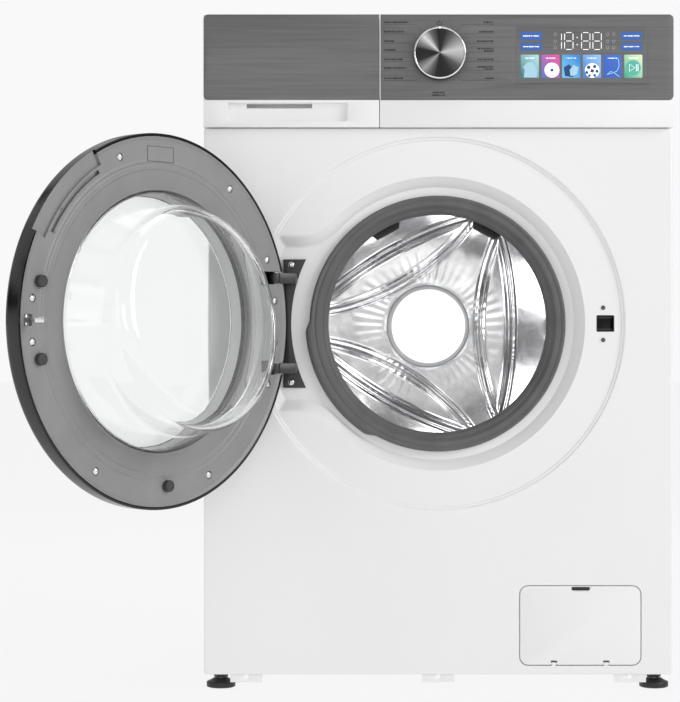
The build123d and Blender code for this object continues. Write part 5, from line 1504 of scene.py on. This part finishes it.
class WASHER_OT_display(bpy.types.Operator):
    """Prints the tiles, keys and figures of the display"""
    bl_idname = "washer.display"
    bl_label = "Display"

    def execute(self, context):
        make_display()
        return {"FINISHED"}


class WASHER_OT_selector(bpy.types.Operator):
    """Makes the selector knob"""
    bl_idname = "washer.selector"
    bl_label = "Selector"

    def execute(self, context):
        make_selector()
        return {"FINISHED"}


class WASHER_OT_drawer(bpy.types.Operator):
    """Makes the detergent drawer"""
    bl_idname = "washer.drawer"
    bl_label = "Drawer"

    def execute(self, context):
        make_drawer()
        return {"FINISHED"}


class WASHER_OT_gasket(bpy.types.Operator):
    """Makes the door bellows and the spray nozzles"""
    bl_idname = "washer.gasket"
    bl_label = "Gasket"

    def execute(self, context):
        make_gasket()
        return {"FINISHED"}


class WASHER_OT_drum(bpy.types.Operator):
    """Makes the drum with its ribs, holes, lifters and pulley"""
    bl_idname = "washer.drum"
    bl_label = "Drum"

    def execute(self, context):
        make_drum()
        return {"FINISHED"}


class WASHER_OT_door_rim(bpy.types.Operator):
    """Makes the gloss rim and the outer window"""
    bl_idname = "washer.door_rim"
    bl_label = "Door rim"

    def execute(self, context):
        make_door_rim()
        return {"FINISHED"}


class WASHER_OT_door_inner(bpy.types.Operator):
    """Makes the grey inner frame of the door"""
    bl_idname = "washer.door_inner"
    bl_label = "Door liner"

    def execute(self, context):
        make_door_inner()
        return {"FINISHED"}


class WASHER_OT_glass(bpy.types.Operator):
    """Makes the pressed glass bowl"""
    bl_idname = "washer.glass"
    bl_label = "Glass bowl"

    def execute(self, context):
        make_glass()
        return {"FINISHED"}


class WASHER_OT_door_fittings(bpy.types.Operator):
    """Makes the door's screws, stops, latch and pins"""
    bl_idname = "washer.door_fittings"
    bl_label = "Door fittings"

    def execute(self, context):
        make_door_fittings()
        return {"FINISHED"}


class WASHER_OT_works(bpy.types.Operator):
    """Finishes the carried-over parts inside the cabinet"""
    bl_idname = "washer.works"
    bl_label = "Inside works"

    def execute(self, context):
        finish_works()
        return {"FINISHED"}


class WASHER_PT_pieces(bpy.types.Panel):
    """Lists the sizes, the colours and the pieces"""
    bl_idname = "WASHER_PT_pieces"
    bl_label = "Washing machine"
    bl_space_type = "VIEW_3D"
    bl_region_type = "UI"
    bl_category = "Washer"

    def draw(self, context):
        for group in (context.scene.washer_sizes, context.scene.washer_colours):
            for key in group.bl_rna.properties.keys():
                if key not in ("rna_type", "name"):
                    self.layout.prop(group, key)
        for operator in OPERATORS:
            self.layout.operator(operator.bl_idname)


OPERATORS = (
    WASHER_OT_stage,
    WASHER_OT_cabinet,
    WASHER_OT_front_sheet,
    WASHER_OT_lock_and_hinge,
    WASHER_OT_filter_door,
    WASHER_OT_feet,
    WASHER_OT_fascia,
    WASHER_OT_legend,
    WASHER_OT_display,
    WASHER_OT_selector,
    WASHER_OT_drawer,
    WASHER_OT_gasket,
    WASHER_OT_drum,
    WASHER_OT_door_rim,
    WASHER_OT_door_inner,
    WASHER_OT_glass,
    WASHER_OT_door_fittings,
    WASHER_OT_works,
)
CLASSES = (WasherSizes, WasherColours, *OPERATORS, WASHER_PT_pieces)


def register():
    for item in CLASSES:
        bpy.utils.register_class(item)
    bpy.types.Scene.washer_sizes = bpy.props.PointerProperty(type=WasherSizes)
    bpy.types.Scene.washer_colours = bpy.props.PointerProperty(type=WasherColours)


def unregister():
    del bpy.types.Scene.washer_sizes
    del bpy.types.Scene.washer_colours
    for item in reversed(CLASSES):
        bpy.utils.unregister_class(item)


def main():
    """Makes every piece in order."""
    register()
    for operator in OPERATORS:
        getattr(bpy.ops.washer, operator.bl_idname.split(".")[1])()


if __name__ == "__main__":
    main()
